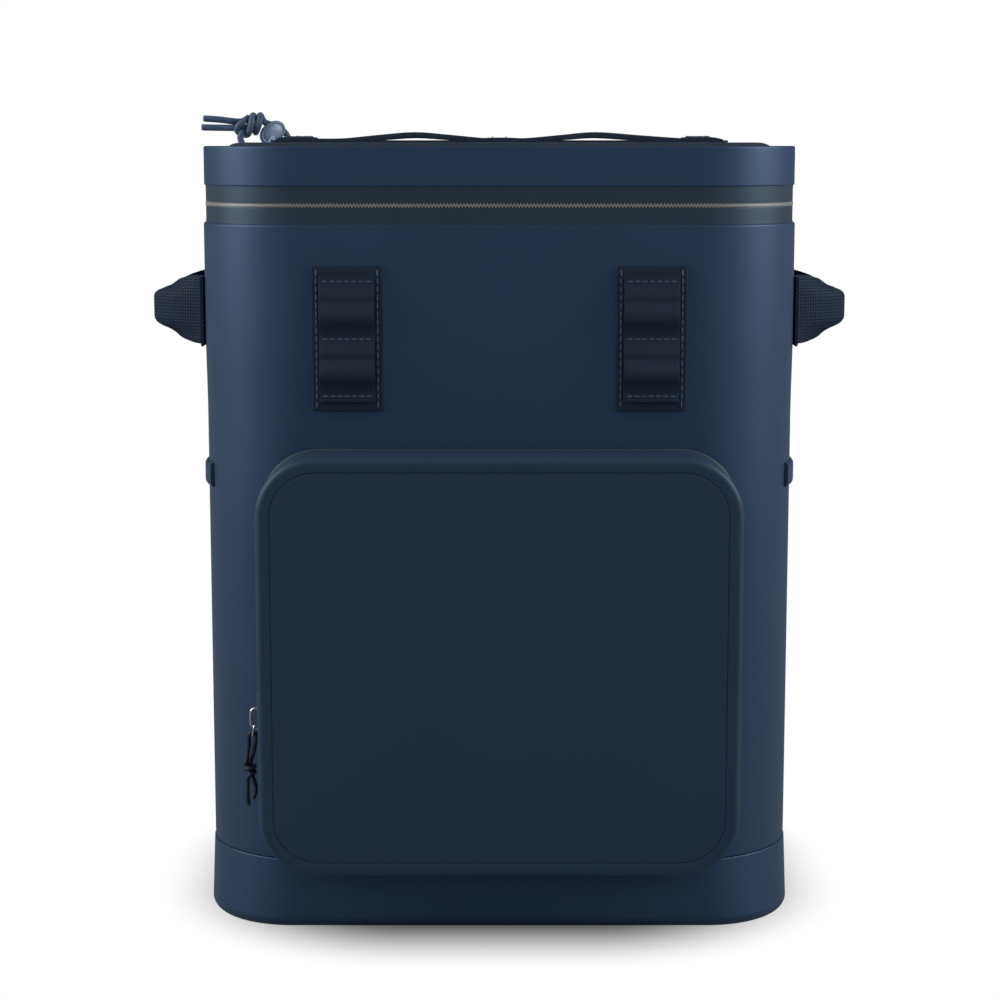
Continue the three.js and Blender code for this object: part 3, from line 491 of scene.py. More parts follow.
class Nodes:
    """Adds and links nodes in one tree."""

    def __init__(self, tree: bpy.types.NodeTree) -> None:
        """Keeps the tree."""
        self.tree = tree

    def add(self, kind: str, inputs: dict | None = None, **settings: object) -> bpy.types.Node:
        """Adds a node.

        Args:
            kind: Its type.
            inputs: Values or sockets for its inputs, by name or number.
            **settings: Its properties.

        Returns:
            The node.
        """
        node = self.tree.nodes.new(kind)
        for key, value in settings.items():
            setattr(node, key, value)
        for key, value in (inputs or {}).items():
            if isinstance(value, bpy.types.NodeSocket):
                self.tree.links.new(value, node.inputs[key])
            else:
                node.inputs[key].default_value = value
        return node

    def math(self, operation: str, *values: object) -> bpy.types.NodeSocket:
        """Adds a Math node and returns its output."""
        inputs = dict(enumerate(values))
        return self.add("ShaderNodeMath", inputs, operation=operation).outputs[0]

    def vector(self, operation: str, *values: object) -> bpy.types.NodeSocket:
        """Adds a Vector Math node and returns its first output."""
        inputs = dict(enumerate(values))
        return self.add("ShaderNodeVectorMath", inputs, operation=operation).outputs[0]

    def mix(self, factor: object, a: object, b: object) -> bpy.types.NodeSocket:
        """Mixes two colours and returns the result."""
        inputs = {0: factor, 6: a, 7: b}
        return self.add("ShaderNodeMix", inputs, data_type="RGBA").outputs[2]

    def ramp(self, value: object, low: float, high: float, a: float, b: float) -> object:
        """Maps a value from low..high to a..b, smoothly and within it."""
        inputs = {0: value, 1: low, 2: high, 3: a, 4: b}
        return self.add(
            "ShaderNodeMapRange", inputs, interpolation_type="SMOOTHSTEP"
        ).outputs[0]


@dataclass(frozen=True)
class Sockets:
    """The named inputs, with their values, and the outputs of a node group."""

    inputs: dict[str, object]
    outputs: tuple[str, ...]


def new_group(name: str, sockets: Sockets) -> tuple[bpy.types.NodeTree, Nodes, dict, object]:
    """Starts a node group.

    Args:
        name: Its name.
        sockets: Its inputs and outputs. An input of None is a vector.

    Returns:
        The group, its nodes, its inputs' sockets by name, and its output node.
    """
    group = bpy.data.node_groups.new(name, "ShaderNodeTree")
    for label, value in sockets.inputs.items():
        kind = "NodeSocketVector" if value is None else "NodeSocketFloat"
        socket = group.interface.new_socket(label, in_out="INPUT", socket_type=kind)
        if value is not None:
            socket.default_value = value
    for label in sockets.outputs:
        group.interface.new_socket(label, in_out="OUTPUT", socket_type="NodeSocketFloat")
    nodes = Nodes(group)
    start = nodes.add("NodeGroupInput")
    end = nodes.add("NodeGroupOutput")
    return group, nodes, {s.name: s for s in start.outputs if s.name}, end


def woven_threads() -> bpy.types.NodeTree:
    """A plain weave. Its height and thread shade follow warp and weft that cross by turns.

    Returns:
        The group, with inputs Vector, Across and Along (the threads' pitch in metres).
    """
    sockets = Sockets({"Vector": None, "Across": 0.001, "Along": 0.001}, ("Height", "Warp"))
    group, nodes, given, end = new_group("Woven threads", sockets)
    split = nodes.add("ShaderNodeSeparateXYZ", {0: given["Vector"]})
    u = nodes.math("DIVIDE", split.outputs[0], given["Across"])
    v = nodes.math("DIVIDE", split.outputs[1], given["Along"])
    bump_u = nodes.math("SINE", nodes.math("MULTIPLY", nodes.math("FRACT", u), math.pi))
    bump_v = nodes.math("SINE", nodes.math("MULTIPLY", nodes.math("FRACT", v), math.pi))
    cell = nodes.math("ADD", nodes.math("FLOOR", u), nodes.math("FLOOR", v))
    parity = nodes.math("FLOORED_MODULO", cell, 2.0)
    crown_u = nodes.math("MULTIPLY_ADD", bump_v, 0.45, 0.55)
    crown_v = nodes.math("MULTIPLY_ADD", bump_u, 0.45, 0.55)
    warp = nodes.math("MULTIPLY", nodes.math("POWER", bump_u, 0.6), crown_u)
    weft = nodes.math("MULTIPLY", nodes.math("POWER", bump_v, 0.6), crown_v)
    flip = nodes.math("SUBTRACT", 1.0, parity)
    height = nodes.math(
        "ADD", nodes.math("MULTIPLY", warp, parity), nodes.math("MULTIPLY", weft, flip)
    )
    group.links.new(height, end.inputs["Height"])
    group.links.new(parity, end.inputs["Warp"])
    return group


def fine_grain() -> bpy.types.NodeTree:
    """The pebbled skin of a coated cloth, with slow changes of tone over it.

    Returns:
        The group, with inputs Vector, Pebble (their size in metres) and Patch.
    """
    sockets = Sockets({"Vector": None, "Pebble": 0.0006, "Patch": 0.05}, ("Height", "Tone"))
    group, nodes, given, end = new_group("Fine grain", sockets)
    small = nodes.math("DIVIDE", 1.0, given["Pebble"])
    pebbles = nodes.add(
        "ShaderNodeTexVoronoi",
        {"Vector": given["Vector"], "Scale": small},
        feature="SMOOTH_F1",
    )
    large = nodes.math("DIVIDE", 1.0, given["Patch"])
    patches = nodes.add(
        "ShaderNodeTexNoise", {"Vector": given["Vector"], "Scale": large, "Detail": 3.0}
    )
    height = nodes.math("SUBTRACT", 1.0, pebbles.outputs["Distance"])
    group.links.new(height, end.inputs["Height"])
    group.links.new(patches.outputs[0], end.inputs["Tone"])
    return group


def rubbed_edges() -> bpy.types.NodeTree:
    """Where outer edges are rubbed, from how pointed the surface is, broken up by noise.

    Returns:
        The group, with inputs Vector, Start and Full (pointedness) and Breakup (size in metres).
    """
    sockets = Sockets(
        {"Vector": None, "Start": 0.53, "Full": 0.62, "Breakup": 0.006}, ("Wear",)
    )
    group, nodes, given, end = new_group("Rubbed edges", sockets)
    geometry = nodes.add("ShaderNodeNewGeometry")
    edge = nodes.ramp(geometry.outputs["Pointiness"], given["Start"], given["Full"], 0.0, 1.0)
    scale = nodes.math("DIVIDE", 1.0, given["Breakup"])
    noise = nodes.add(
        "ShaderNodeTexNoise", {"Vector": given["Vector"], "Scale": scale, "Detail": 4.0}
    )
    broken = nodes.ramp(noise.outputs[0], 0.35, 0.65, 0.25, 1.0)
    group.links.new(nodes.math("MULTIPLY", edge, broken), end.inputs["Wear"])
    return group


def settled_dust() -> bpy.types.NodeTree:
    """Faint dust on surfaces that face up and near the floor.

    Returns:
        The group, with inputs Vector and Floor (height in metres below which it gathers).
    """
    sockets = Sockets({"Vector": None, "Floor": 0.05}, ("Dust",))
    group, nodes, given, end = new_group("Settled dust", sockets)
    geometry = nodes.add("ShaderNodeNewGeometry")
    normal = nodes.add("ShaderNodeSeparateXYZ", {0: geometry.outputs["Normal"]})
    facing = nodes.ramp(normal.outputs[2], 0.3, 1.0, 0.0, 0.6)
    spot = nodes.add("ShaderNodeSeparateXYZ", {0: given["Vector"]})
    low = nodes.ramp(spot.outputs[2], 0.0, given["Floor"], 0.4, 0.0)
    noise = nodes.add(
        "ShaderNodeTexNoise", {"Vector": given["Vector"], "Scale": 45.0, "Detail": 5.0}
    )
    patchy = nodes.ramp(noise.outputs[0], 0.4, 0.75, 0.2, 1.0)
    dust = nodes.math("MULTIPLY", nodes.math("MAXIMUM", facing, low), patchy)
    group.links.new(dust, end.inputs["Dust"])
    return group


@dataclass(frozen=True)
class GroupShelf:
    """The shared node groups, each built once."""

    weave: bpy.types.NodeTree = field(default_factory=woven_threads)
    grain: bpy.types.NodeTree = field(default_factory=fine_grain)
    wear: bpy.types.NodeTree = field(default_factory=rubbed_edges)
    dust: bpy.types.NodeTree = field(default_factory=settled_dust)


# Finishes


@dataclass(frozen=True)
class Surface:
    """What a finish's pattern hands to the shader: colour, roughness and height."""

    colour: bpy.types.NodeSocket
    roughness: bpy.types.NodeSocket
    height: bpy.types.NodeSocket


@dataclass(frozen=True)
class Finish:
    """A material's look. Each kind of finish gives its own pattern.

    Colours are linear. The relief is the height of the pattern's bumps in metres.
    """

    name: str
    slot: str
    colour: Colour
    roughness: float = 0.5
    relief: float = 0.0001
    metallic: float = 0.0
    specular: float = 0.5
    sheen: float = 0.0
    wear: float = 0.12
    dust: float = 0.012
    tint: Colour = (1.0, 1.0, 1.0)

    def pattern(self, nodes: Nodes, shelf: GroupShelf, spot: object, cloth: object) -> Surface:
        """Gives the surface's colour, roughness and height.

        Args:
            nodes: The material's nodes.
            shelf: The shared groups.
            spot: Place on the object.
            cloth: Place on the cloth, across and along.

        Returns:
            The sockets for the shader.
        """
        raise NotImplementedError

    def tinted(self, nodes: Nodes, shade: object, low: float, high: float) -> object:
        """The finish's colour, from a darker to a lighter tone as shade goes from 0 to 1."""
        dark = tuple(c * low for c in self.colour) + (1.0,)
        light = tuple(c * high for c in self.colour) + (1.0,)
        return nodes.mix(shade, dark, light)

    def make(self, shelf: GroupShelf) -> bpy.types.Material:
        """Builds the material.

        Args:
            shelf: The shared node groups.

        Returns:
            The material, with its pattern, rubbed edges and a little dust.
        """
        material = bpy.data.materials.new(self.name)
        material.use_nodes = True
        material.diffuse_color = (*self.colour, 1.0)
        tree = material.node_tree
        tree.nodes.clear()
        nodes = Nodes(tree)
        spot = nodes.add("ShaderNodeTexCoord").outputs["Object"]
        cloth = nodes.add("ShaderNodeUVMap", uv_map=CLOTH_UV).outputs[0]
        surface = self.pattern(nodes, shelf, spot, cloth)
        worn = nodes.add("ShaderNodeGroup", {"Vector": spot}, node_tree=shelf.wear)
        dusty = nodes.add("ShaderNodeGroup", {"Vector": spot}, node_tree=shelf.dust)
        rubbed = tuple(min(1.0, c * 1.6 + 0.01) for c in self.colour) + (1.0,)
        wear = nodes.math("MULTIPLY", worn.outputs[0], self.wear)
        colour = nodes.mix(wear, surface.colour, rubbed)
        dust = nodes.math("MULTIPLY", dusty.outputs[0], self.dust)
        colour = nodes.mix(dust, colour, (0.3, 0.29, 0.27, 1.0))
        roughness = nodes.math("MULTIPLY_ADD", dust, 0.4, surface.roughness)
        bump = nodes.add(
            "ShaderNodeBump", {"Height": surface.height, "Distance": self.relief, "Strength": 1.0}
        )
        inputs = {
            "Base Color": colour,
            "Roughness": roughness,
            "Normal": bump.outputs[0],
            "Metallic": self.metallic,
            "Specular IOR Level": self.specular,
            "Specular Tint": (*self.tint, 1.0),
            "Sheen Weight": self.sheen,
            "Sheen Roughness": 0.5,
        }
        shader = nodes.add("ShaderNodeBsdfPrincipled", inputs)
        nodes.add("ShaderNodeOutputMaterial", {"Surface": shader.outputs[0]})
        return material


@dataclass(frozen=True)
class CoatedCloth(Finish):
    """Coated or foam-backed cloth with a fine pebbled skin."""

    pebble: float = 0.0006
    tones: float = 0.06
    uneven: float = 0.03

    def pattern(self, nodes: Nodes, shelf: GroupShelf, spot: object, cloth: object) -> Surface:
        """See Finish.pattern."""
        inputs = {"Vector": spot, "Pebble": self.pebble}
        height, tone = nodes.add("ShaderNodeGroup", inputs, node_tree=shelf.grain).outputs
        colour = self.tinted(nodes, tone, 1 - self.tones, 1 + self.tones)
        smooth, rough = self.roughness - self.uneven, self.roughness + self.uneven
        return Surface(colour, nodes.ramp(tone, 0.2, 0.8, smooth, rough), height)


@dataclass(frozen=True)
class WovenCloth(Finish):
    """Webbing or canvas with threads that cross. Its colour holds painted shade in the hollows
    between threads and painted highlight on their crowns.
    """

    across: float = 0.0013
    along: float = 0.0009
    weave: Weave = Weave.PLAIN
    contrast: float = 0.45

    def pattern(self, nodes: Nodes, shelf: GroupShelf, spot: object, cloth: object) -> Surface:
        """See Finish.pattern."""
        inputs = {"Vector": cloth, "Across": self.across, "Along": self.along}
        height, warp = nodes.add("ShaderNodeGroup", inputs, node_tree=shelf.weave).outputs
        # Painted shade and highlight: the colour follows the weave's height, dark in its hollows
        # and light on its crowns.
        shade = nodes.ramp(height, 0.15, 0.95, 0.0, 1.0)
        if self.weave is Weave.RIBBED:
            shade = nodes.math("MULTIPLY_ADD", warp, 0.25, nodes.math("MULTIPLY", shade, 0.75))
        grain = nodes.add("ShaderNodeGroup", {"Vector": spot}, node_tree=shelf.grain)
        fuzz = nodes.math("MULTIPLY_ADD", grain.outputs["Tone"], 0.3, -0.15)
        shade = nodes.math("ADD", shade, fuzz)
        colour = self.tinted(nodes, shade, 1 - self.contrast, 1 + self.contrast)
        roughness = nodes.ramp(shade, 0.0, 1.0, self.roughness + 0.06, self.roughness - 0.06)
        return Surface(colour, roughness, height)


@dataclass(frozen=True)
class BraidedCord(Finish):
    """A braided cord. Its strands run round it both ways."""

    strand: float = 0.0011

    def pattern(self, nodes: Nodes, shelf: GroupShelf, spot: object, cloth: object) -> Surface:
        """See Finish.pattern."""
        slant = {"Vector": cloth, "Angle": math.radians(45)}
        turned = nodes.add("ShaderNodeVectorRotate", slant, rotation_type="Z_AXIS").outputs[0]
        inputs = {"Vector": turned, "Across": self.strand, "Along": self.strand}
        height = nodes.add("ShaderNodeGroup", inputs, node_tree=shelf.weave).outputs["Height"]
        # Painted shade and highlight: the colour is darker in the grooves between strands and
        # lighter on their crowns.
        colour = self.tinted(nodes, height, 0.75, 1.2)
        roughness = nodes.ramp(height, 0.0, 1.0, self.roughness + 0.08, self.roughness - 0.05)
        return Surface(colour, roughness, height)


@dataclass(frozen=True)
class Metal(Finish):
    """Cast, painted or brushed metal, lightly uneven."""

    brush: float = 0.0

    def pattern(self, nodes: Nodes, shelf: GroupShelf, spot: object, cloth: object) -> Surface:
        """See Finish.pattern."""
        stretched = nodes.add(
            "ShaderNodeMapping", {"Vector": spot, "Scale": (900.0, 900.0, 900.0 - self.brush)}
        )
        noise = nodes.add(
            "ShaderNodeTexNoise", {"Vector": stretched.outputs[0], "Scale": 1.0, "Detail": 4.0}
        )
        height = noise.outputs[0]
        colour = self.tinted(nodes, height, 0.88, 1.1)
        roughness = nodes.ramp(height, 0.3, 0.7, self.roughness - 0.07, self.roughness + 0.07)
        return Surface(colour, roughness, height)


@dataclass(frozen=True)
class SpacerMesh(Finish):
    """Open spacer mesh over foam: round holes in staggered rows."""

    hole: float = 0.0026

    def pattern(self, nodes: Nodes, shelf: GroupShelf, spot: object, cloth: object) -> Surface:
        """See Finish.pattern."""
        cells = nodes.add(
            "ShaderNodeTexVoronoi",
            {"Vector": spot, "Scale": 1 / self.hole, "Randomness": 0.15},
            feature="F1",
        )
        height = nodes.ramp(cells.outputs["Distance"], 0.15, 0.42, 0.0, 1.0)
        # Painted shade: the holes are coloured much darker than the mesh between them, as the shade
        # inside them.
        colour = self.tinted(nodes, height, 0.35, 1.25)
        roughness = nodes.ramp(height, 0.0, 1.0, 1.0, self.roughness)
        return Surface(colour, roughness, height)


@dataclass(frozen=True)
class MouldedPlastic(CoatedCloth):
    """Moulded plastic with a spark-eroded grain."""

    pebble: float = 0.0004
    tones: float = 0.15
    uneven: float = 0.05


class Wardrobe:
    """Every material of the bag, made once, and what dresses a piece in one."""

    FINISHES: tuple[Finish, ...] = (
        CoatedCloth(
            "shell cloth", "coated_shell", (0.0200, 0.0400, 0.0800), 0.46, 0.00002,
            specular=0.6, tint=(0.37, 0.58, 1.0),
        ),
        CoatedCloth(
            "pocket cloth", "pocket_face", (0.0175, 0.0330, 0.0620), 0.55, 0.00003,
            specular=0.5, tint=(0.5, 0.7, 1.0),
        ),
        CoatedCloth("piping", "pocket_face", (0.030, 0.044, 0.062), 0.5, 0.00003, specular=0.4),
        # The lid panel cloth is darker and greyer than the shell cloth: partly its own colour,
        # partly painted shade.
        CoatedCloth("lid panel cloth", "lid_panel", (0.018, 0.030, 0.047), 0.7, 0.00005,
                    specular=0.25),
        CoatedCloth(
            "zip tape cloth", "zip_tape", (0.022, 0.033, 0.048), 0.45, 0.00003, specular=0.5,
            tint=(0.5, 0.72, 1.0),
        ),
        CoatedCloth("zip weave", "pocket_zip", (0.006, 0.008, 0.012), 0.6, 0.00003),
        WovenCloth(
            "panel webbing", "webbing", (0.0105, 0.0200, 0.0370), 0.7, 0.00018, specular=0.2
        ),
        WovenCloth(
            "loop webbing", "webbing", (0.0105, 0.0195, 0.0360), 0.68, 0.00014, specular=0.25,
            across=0.0014, along=0.0008, weave=Weave.RIBBED, contrast=0.35,
        ),
        WovenCloth(
            "handle webbing", "webbing", (0.0072, 0.0150, 0.0300), 0.7, 0.00028, specular=0.15,
            across=0.0019, along=0.0019, contrast=0.6,
        ),
        WovenCloth(
            "strap edging", "webbing", (0.010, 0.016, 0.028), 0.7, 0.0001, across=0.0008,
        ),
        BraidedCord("stitch thread", "webbing", (0.05, 0.085, 0.14), 0.6, 0.00003, strand=0.0003),
        BraidedCord("pull cord", "cord", (0.037, 0.066, 0.125), 0.6, 0.00012, sheen=0.1),
        BraidedCord("dark pull cord", "dark_cord", (0.006, 0.008, 0.013), 0.6, 0.0001,
                    strand=0.0008),
        Metal("zip teeth metal", "zip_teeth", (0.36, 0.37, 0.36), 0.4, 0.00002, metallic=0.5),
        Metal("painted pull", "painted_pull", (0.105, 0.16, 0.25), 0.38, 0.00001, 0.1),
        Metal("bright metal", "bright_metal", (0.62, 0.62, 0.62), 0.28, 0.00001, 1.0,
              brush=600.0),
        SpacerMesh("back mesh", "back_padding", (0.014, 0.021, 0.034), 0.8, 0.0006, sheen=0.2),
        WovenCloth(
            "pad cloth", "back_padding", (0.015, 0.023, 0.039), 0.75, 0.00012, sheen=0.2,
            across=0.0009, along=0.0009,
        ),
        MouldedPlastic("buckle plastic", "buckle", (0.007, 0.009, 0.013), 0.42, 0.00002),
    )

    def __init__(self) -> None:
        """Builds the shared groups and all the materials."""
        shelf = GroupShelf()
        self.finishes = {f.name: f for f in self.FINISHES}
        self.materials = {f.name: f.make(shelf) for f in self.FINISHES}

    def dress(self, piece: Piece, finish: str, *nodes: str) -> Piece:
        """Gives a piece its material and body, and hides the CAD nodes that it stands for.

        Args:
            piece: The piece.
            finish: Name of its finish.
            *nodes: CAD nodes that it replaces.

        Returns:
            The piece.
        """
        piece.data.materials.clear()
        piece.data.materials.append(self.materials[finish])
        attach(piece, BODY)
        if nodes:
            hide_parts(*nodes)
        LOG.info("%s: %d faces, %s", piece.name, len(piece.data.polygons), finish)
        return piece


# Studio


@dataclass
class Studio:
    """Camera, floor and light, as in a plain product photograph."""

    camera_at: tuple[float, float, float] = (0.0004, -1.468, 0.460)
    camera_tilt: float = 81.47
    lens: float = 85.0
    sensor: float = 36.0
    floor_half: float = 40.0
    # The soft shadow round the base is painted into the floor's glow. These fields set its outline
    # and how far it reaches.
    shadow_inset: float = 0.033
    shadow_round: float = 0.090
    shadow_start: float = -0.022
    shadow_end: float = 0.075

    def camera(self) -> None:
        """Places the camera at the lid's height, looking slightly down at the front."""
        data = bpy.data.cameras.new("camera")
        data.lens, data.sensor_width = self.lens, self.sensor
        camera = linked("camera", data)
        camera.location = self.camera_at
        camera.rotation_euler = (math.radians(self.camera_tilt), 0.0, 0.0)
        bpy.context.scene.camera = camera

    def panel(
        self,
        name: str,
        at: tuple[float, float, float],
        size: Row,
        power: float,
        aim: float,
        shiny: bool = True,
    ) -> None:
        """Hangs one soft light panel.

        Args:
            name: Its name.
            at: Its middle.
            size: Its width and height.
            power: Its power in watts.
            aim: Height on the bag's middle line that it faces.
            shiny: Whether shiny surfaces mirror it.
        """
        data = bpy.data.lights.new(name, "AREA")
        data.shape = "RECTANGLE"
        data.size, data.size_y = size
        data.energy = power
        light = linked(name, data)
        light.location = at
        way = Vector((0.0, 0.0, aim)) - Vector(at)
        light.rotation_euler = way.to_track_quat("-Z", "Y").to_euler()
        light.visible_camera = False
        light.visible_glossy = shiny

    def lights(self) -> None:
        """Hangs a tall panel on each side, one above the front and a weak one at the back."""
        for sign in (-1, 1):
            self.panel(f"side panel {sign:+d}", (sign * 1.35, -0.24, 0.95), (0.8, 0.9), 20.0, 0.5)
        self.panel("front panel", (0.0, -2.4, 1.05), (2.2, 1.2), 19.0, 0.30, shiny=False)
        self.panel("back panel", (0.0, 2.1, 1.60), (2.0, 1.2), 40.0, 0.25, shiny=False)

    def world(self) -> None:
        """Makes the backdrop white, and the light that comes from it dim."""
        world = bpy.data.worlds.new("studio")
        world.use_nodes = True
        world.node_tree.nodes.clear()
        nodes = Nodes(world.node_tree)
        path = nodes.add("ShaderNodeLightPath")
        white = nodes.add("ShaderNodeBackground", {"Color": (1.0, 1.0, 1.0, 1.0), "Strength": 1.0})
        dim = nodes.add("ShaderNodeBackground", {"Color": (0.93, 0.96, 1.0, 1.0), "Strength": 0.05})
        inputs = {0: path.outputs["Is Camera Ray"], 1: dim.outputs[0], 2: white.outputs[0]}
        mixed = nodes.add("ShaderNodeMixShader", inputs)
        nodes.add("ShaderNodeOutputWorld", {"Surface": mixed.outputs[0]})
        bpy.context.scene.world = world
        bpy.context.scene.view_settings.view_transform = "Standard"

    def floor(self, envelope: "Envelope") -> None:
        """Lays the pale floor. It glows, and a soft shadow round the base is painted into its glow.

        Args:
            envelope: The bag's outside sizes.
        """
        half = self.floor_half
        mesh = bpy.data.meshes.new("floor")
        corners = [(-half, -half, 0), (half, -half, 0), (half, half, 0), (-half, half, 0)]
        mesh.from_pydata(corners, [], [(0, 1, 2, 3)])
        floor = linked("floor", mesh)
        material = bpy.data.materials.new("floor")
        material.use_nodes = True
        material.node_tree.nodes.clear()
        nodes = Nodes(material.node_tree)
        spot = nodes.add("ShaderNodeTexCoord").outputs["Object"]
        straight = (
            envelope.half_x - self.shadow_inset - self.shadow_round,
            envelope.half_y - self.shadow_round,
            0.0,
        )
        beyond = nodes.vector("SUBTRACT", nodes.vector("ABSOLUTE", spot), straight)
        outside = nodes.vector("MAXIMUM", beyond, (0.0, 0.0, 0.0))
        length = nodes.add("ShaderNodeVectorMath", {0: outside}, operation="LENGTH")
        distance = nodes.math("SUBTRACT", length.outputs["Value"], self.shadow_round)
        # Painted shadow: the glow fades from near black at the base's outline to full white a few
        # centimetres out.
        light = nodes.ramp(distance, self.shadow_start, self.shadow_end, 0.02, 1.0)
        path = nodes.add("ShaderNodeLightPath")
        # The camera sees the floor white. All other rays see it dim grey, so it lights the bag
        # faintly from below.
        seen = nodes.mix(path.outputs["Is Camera Ray"], (0.25, 0.25, 0.25, 1), (1, 1, 1, 1))
        glow = nodes.add("ShaderNodeEmission", {"Color": seen, "Strength": light})
        nodes.add("ShaderNodeOutputMaterial", {"Surface": glow.outputs[0]})
        mesh.materials.append(material)


# The bag


GAP = 0.0003
MM = 0.001
# Distance of stitches from an edge.
SEAM = 0.003


@dataclass(frozen=True)
class Envelope:
    """Outside sizes of the bag's body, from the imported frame."""

    half_x: float
    half_y: float
    base_top: float
    shell_top: float
    lid_bottom: float
    lid_top: float
    corner: float = 0.065

    @classmethod
    def from_frame(cls) -> "Envelope":
        """Reads the sizes from the boxes of the CAD nodes."""
        lid_low, lid_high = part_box("lid")
        base_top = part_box("base_panel")[1].z + GAP
        shell_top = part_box("zip_tape_lower")[0].z - GAP
        return cls(lid_high.x, lid_high.y, base_top, shell_top, lid_low.z, lid_high.z)


@dataclass
class LocalFrame:
    """A frame on the bag: its origin and the directions of its axes."""

    origin: Vector
    x: Vector
    y: Vector
    z: Vector

    def place(self, x: float, y: float, z: float) -> Vector:
        """Puts a local point in the bag's frame."""
        return self.origin + self.x * x + self.y * y + self.z * z


def front_frame(x: float, y: float, z: float) -> LocalFrame:
    """A frame on the front, with X to the right, Y up and Z towards the viewer."""
    return LocalFrame(Vector((x, y, z)), Vector((1, 0, 0)), Vector((0, 0, 1)), Vector((0, -1, 0)))


def back_frame(x: float, y: float, z: float) -> LocalFrame:
    """A frame on the back, with X to the bag's left, Y up and Z away from the back."""
    return LocalFrame(Vector((x, y, z)), Vector((-1, 0, 0)), Vector((0, 0, 1)), Vector((0, 1, 0)))


@dataclass
class Sewing:
    """Sewing thread: rows of single stitches that stand slightly out of the cloth."""

    length: float = 0.0034
    pause: float = 0.0011
    thread: float = 0.0007
    sides: int = 6
    shape: tuple[Row, ...] = ((0.0, 0.25), (0.12, 0.75), (0.5, 1.0), (0.88, 0.75), (1.0, 0.25))

    def row(self, mesher: Mesher, start: Vector, end: Vector, out: Vector) -> None:
        """Adds a row of stitches to a mesher.

        Args:
            mesher: Where the faces go.
            start: Where the row starts.
            end: Where it ends.
            out: The direction away from the cloth.
        """
        way = end - start
        count = max(1, round(way.length / (self.length + self.pause)))
        step = way / count
        along = way.normalized()
        side = along.cross(out).normalized()
        stitch = min(self.length, step.length * 0.78)
        us = [self.thread * j for j in range(self.sides + 1)]
        vs = [stitch * share for share, _ in self.shape]
        for i in range(count):
            first = start + step * i + along * (step.length - stitch) / 2
            rings = []
            for share, full in self.shape:
                middle = first + along * stitch * share + out * self.thread * (0.55 * full - 0.4)
                reach = self.thread / 2 * (0.35 + 0.65 * full)
                rings.append(circle(middle, side, out, reach, self.sides))
            mesher.grid(rings, us, vs)

    def piece(self, wardrobe: Wardrobe, name: str, rows: Sequence[StitchRow]) -> None:
        """Makes and dresses one object of several rows.

        Args:
            wardrobe: The finishes.
            name: Name of the piece.
            rows: The start, end and outward direction of each row.
        """
        mesher = Mesher()
        for start, end, out in rows:
            self.row(mesher, start, end, out)
        wardrobe.dress(mesher.build(name, sharp=75), "stitch thread")


def box_lines(a: float, b: float, c: float, d: float) -> list[Line]:
    """The four sides of a box with corners at a, b and c, d."""
    return [(a, b, c, b), (a, d, c, d), (a, b, a, d), (c, b, c, d)]


def stitch_rows(
    place: Callable[[float, float], Vector], out: Vector, lines: Sequence[Line]
) -> list[StitchRow]:
    """Rows of stitches on a flat face.

    Args:
        place: Puts a point of the face in the frame.
        out: The direction away from the face.
        lines: The two coordinates of each row's start, and those of its end.

    Returns:
        The rows for Sewing.piece.
    """
    return [(place(a, b), place(c, d), out) for a, b, c, d in lines]


def thick_sheet(
    name: str, sheet: Sequence[Sequence[Vector]], thick: float, us: Sequence[float]
) -> Piece:
    """A cloth strip of even thickness on a sheet of points, with rounded long edges.

    Args:
        name: Name of the piece.
        sheet: Rows of points, from one end to the other.
        thick: The cloth's thickness.
        us: Distance across for each point of a row.

    Returns:
        The object.
    """
    grid = np.array([[tuple(p) for p in row] for row in sheet])
    along = np.gradient(grid, axis=0)
    across = np.gradient(grid, axis=1)
    normals = np.cross(along, across)
    normals /= np.linalg.norm(normals, axis=2)[:, :, None]
    across /= np.linalg.norm(across, axis=2)[:, :, None]
    half = thick / 2
    rows, vs, run = [], [], 0.0
    for i in range(len(grid)):
        near = grid[i] + normals[i] * half
        far = grid[i] - normals[i] * half
        first = grid[i][:1] - across[i][:1] * half
        last = grid[i][-1:] + across[i][-1:] * half
        ring = np.vstack([near, last, far[::-1], first])
        rows.append([Vector(p) for p in ring])
        middle = grid.shape[1] // 2
        run += float(np.linalg.norm(grid[i][middle] - grid[max(i - 1, 0)][middle]))
        vs.append(run)
    edge = [us[-1] + half, us[0] - half]
    ring_us = [*us, edge[0], *reversed(us), edge[1], us[0]]
    return Mesher().grid(rows, ring_us, vs).build(name, sharp=60)


def cut_plate(
    name: str,
    outlines: Sequence[Sequence[Row]],
    thick: float,
    bevel: float,
    frame: LocalFrame,
    off: float,
) -> Piece:
    """A flat plate with holes and rounded edges.

    Args:
        name: Name of the piece.
        outlines: Its outer outline and those of its holes.
        thick: Its thickness.
        bevel: Radius of its edges.
        frame: The frame that it lies in.
        off: Distance of its back from the frame's XY plane.

    Returns:
        The object.
    """
    curve = bpy.data.curves.new(name, "CURVE")
    curve.dimensions = "2D"
    curve.fill_mode = "BOTH"
    curve.extrude = thick / 2 - bevel
    curve.bevel_depth = bevel
    curve.bevel_resolution = 3
    curve.offset = -bevel
    for outline in outlines:
        line = curve.splines.new("POLY")
        line.points.add(len(outline) - 1)
        for point, (x, y) in zip(line.points, outline, strict=True):
            point.co = (x, y, 0.0, 1.0)
        line.use_cyclic_u = True
    shape = linked(name, curve)
    mesh = evaluated(shape, name)
    bpy.data.objects.remove(shape)
    bpy.data.curves.remove(curve)
    work = bmesh.new()
    work.from_mesh(mesh)
    bmesh.ops.remove_doubles(work, verts=work.verts[:], dist=1e-6)
    layer = work.loops.layers.uv.new(CLOTH_UV)
    for face in work.faces:
        for corner in face.loops:
            corner[layer].uv = corner.vert.co.xy
    for vert in work.verts:
        vert.co = frame.place(vert.co.x, vert.co.y, vert.co.z + off + thick / 2)
    bmesh.ops.recalc_face_normals(work, faces=work.faces[:])
    work.to_mesh(mesh)
    work.free()
    return shaded(name, mesh, 40)


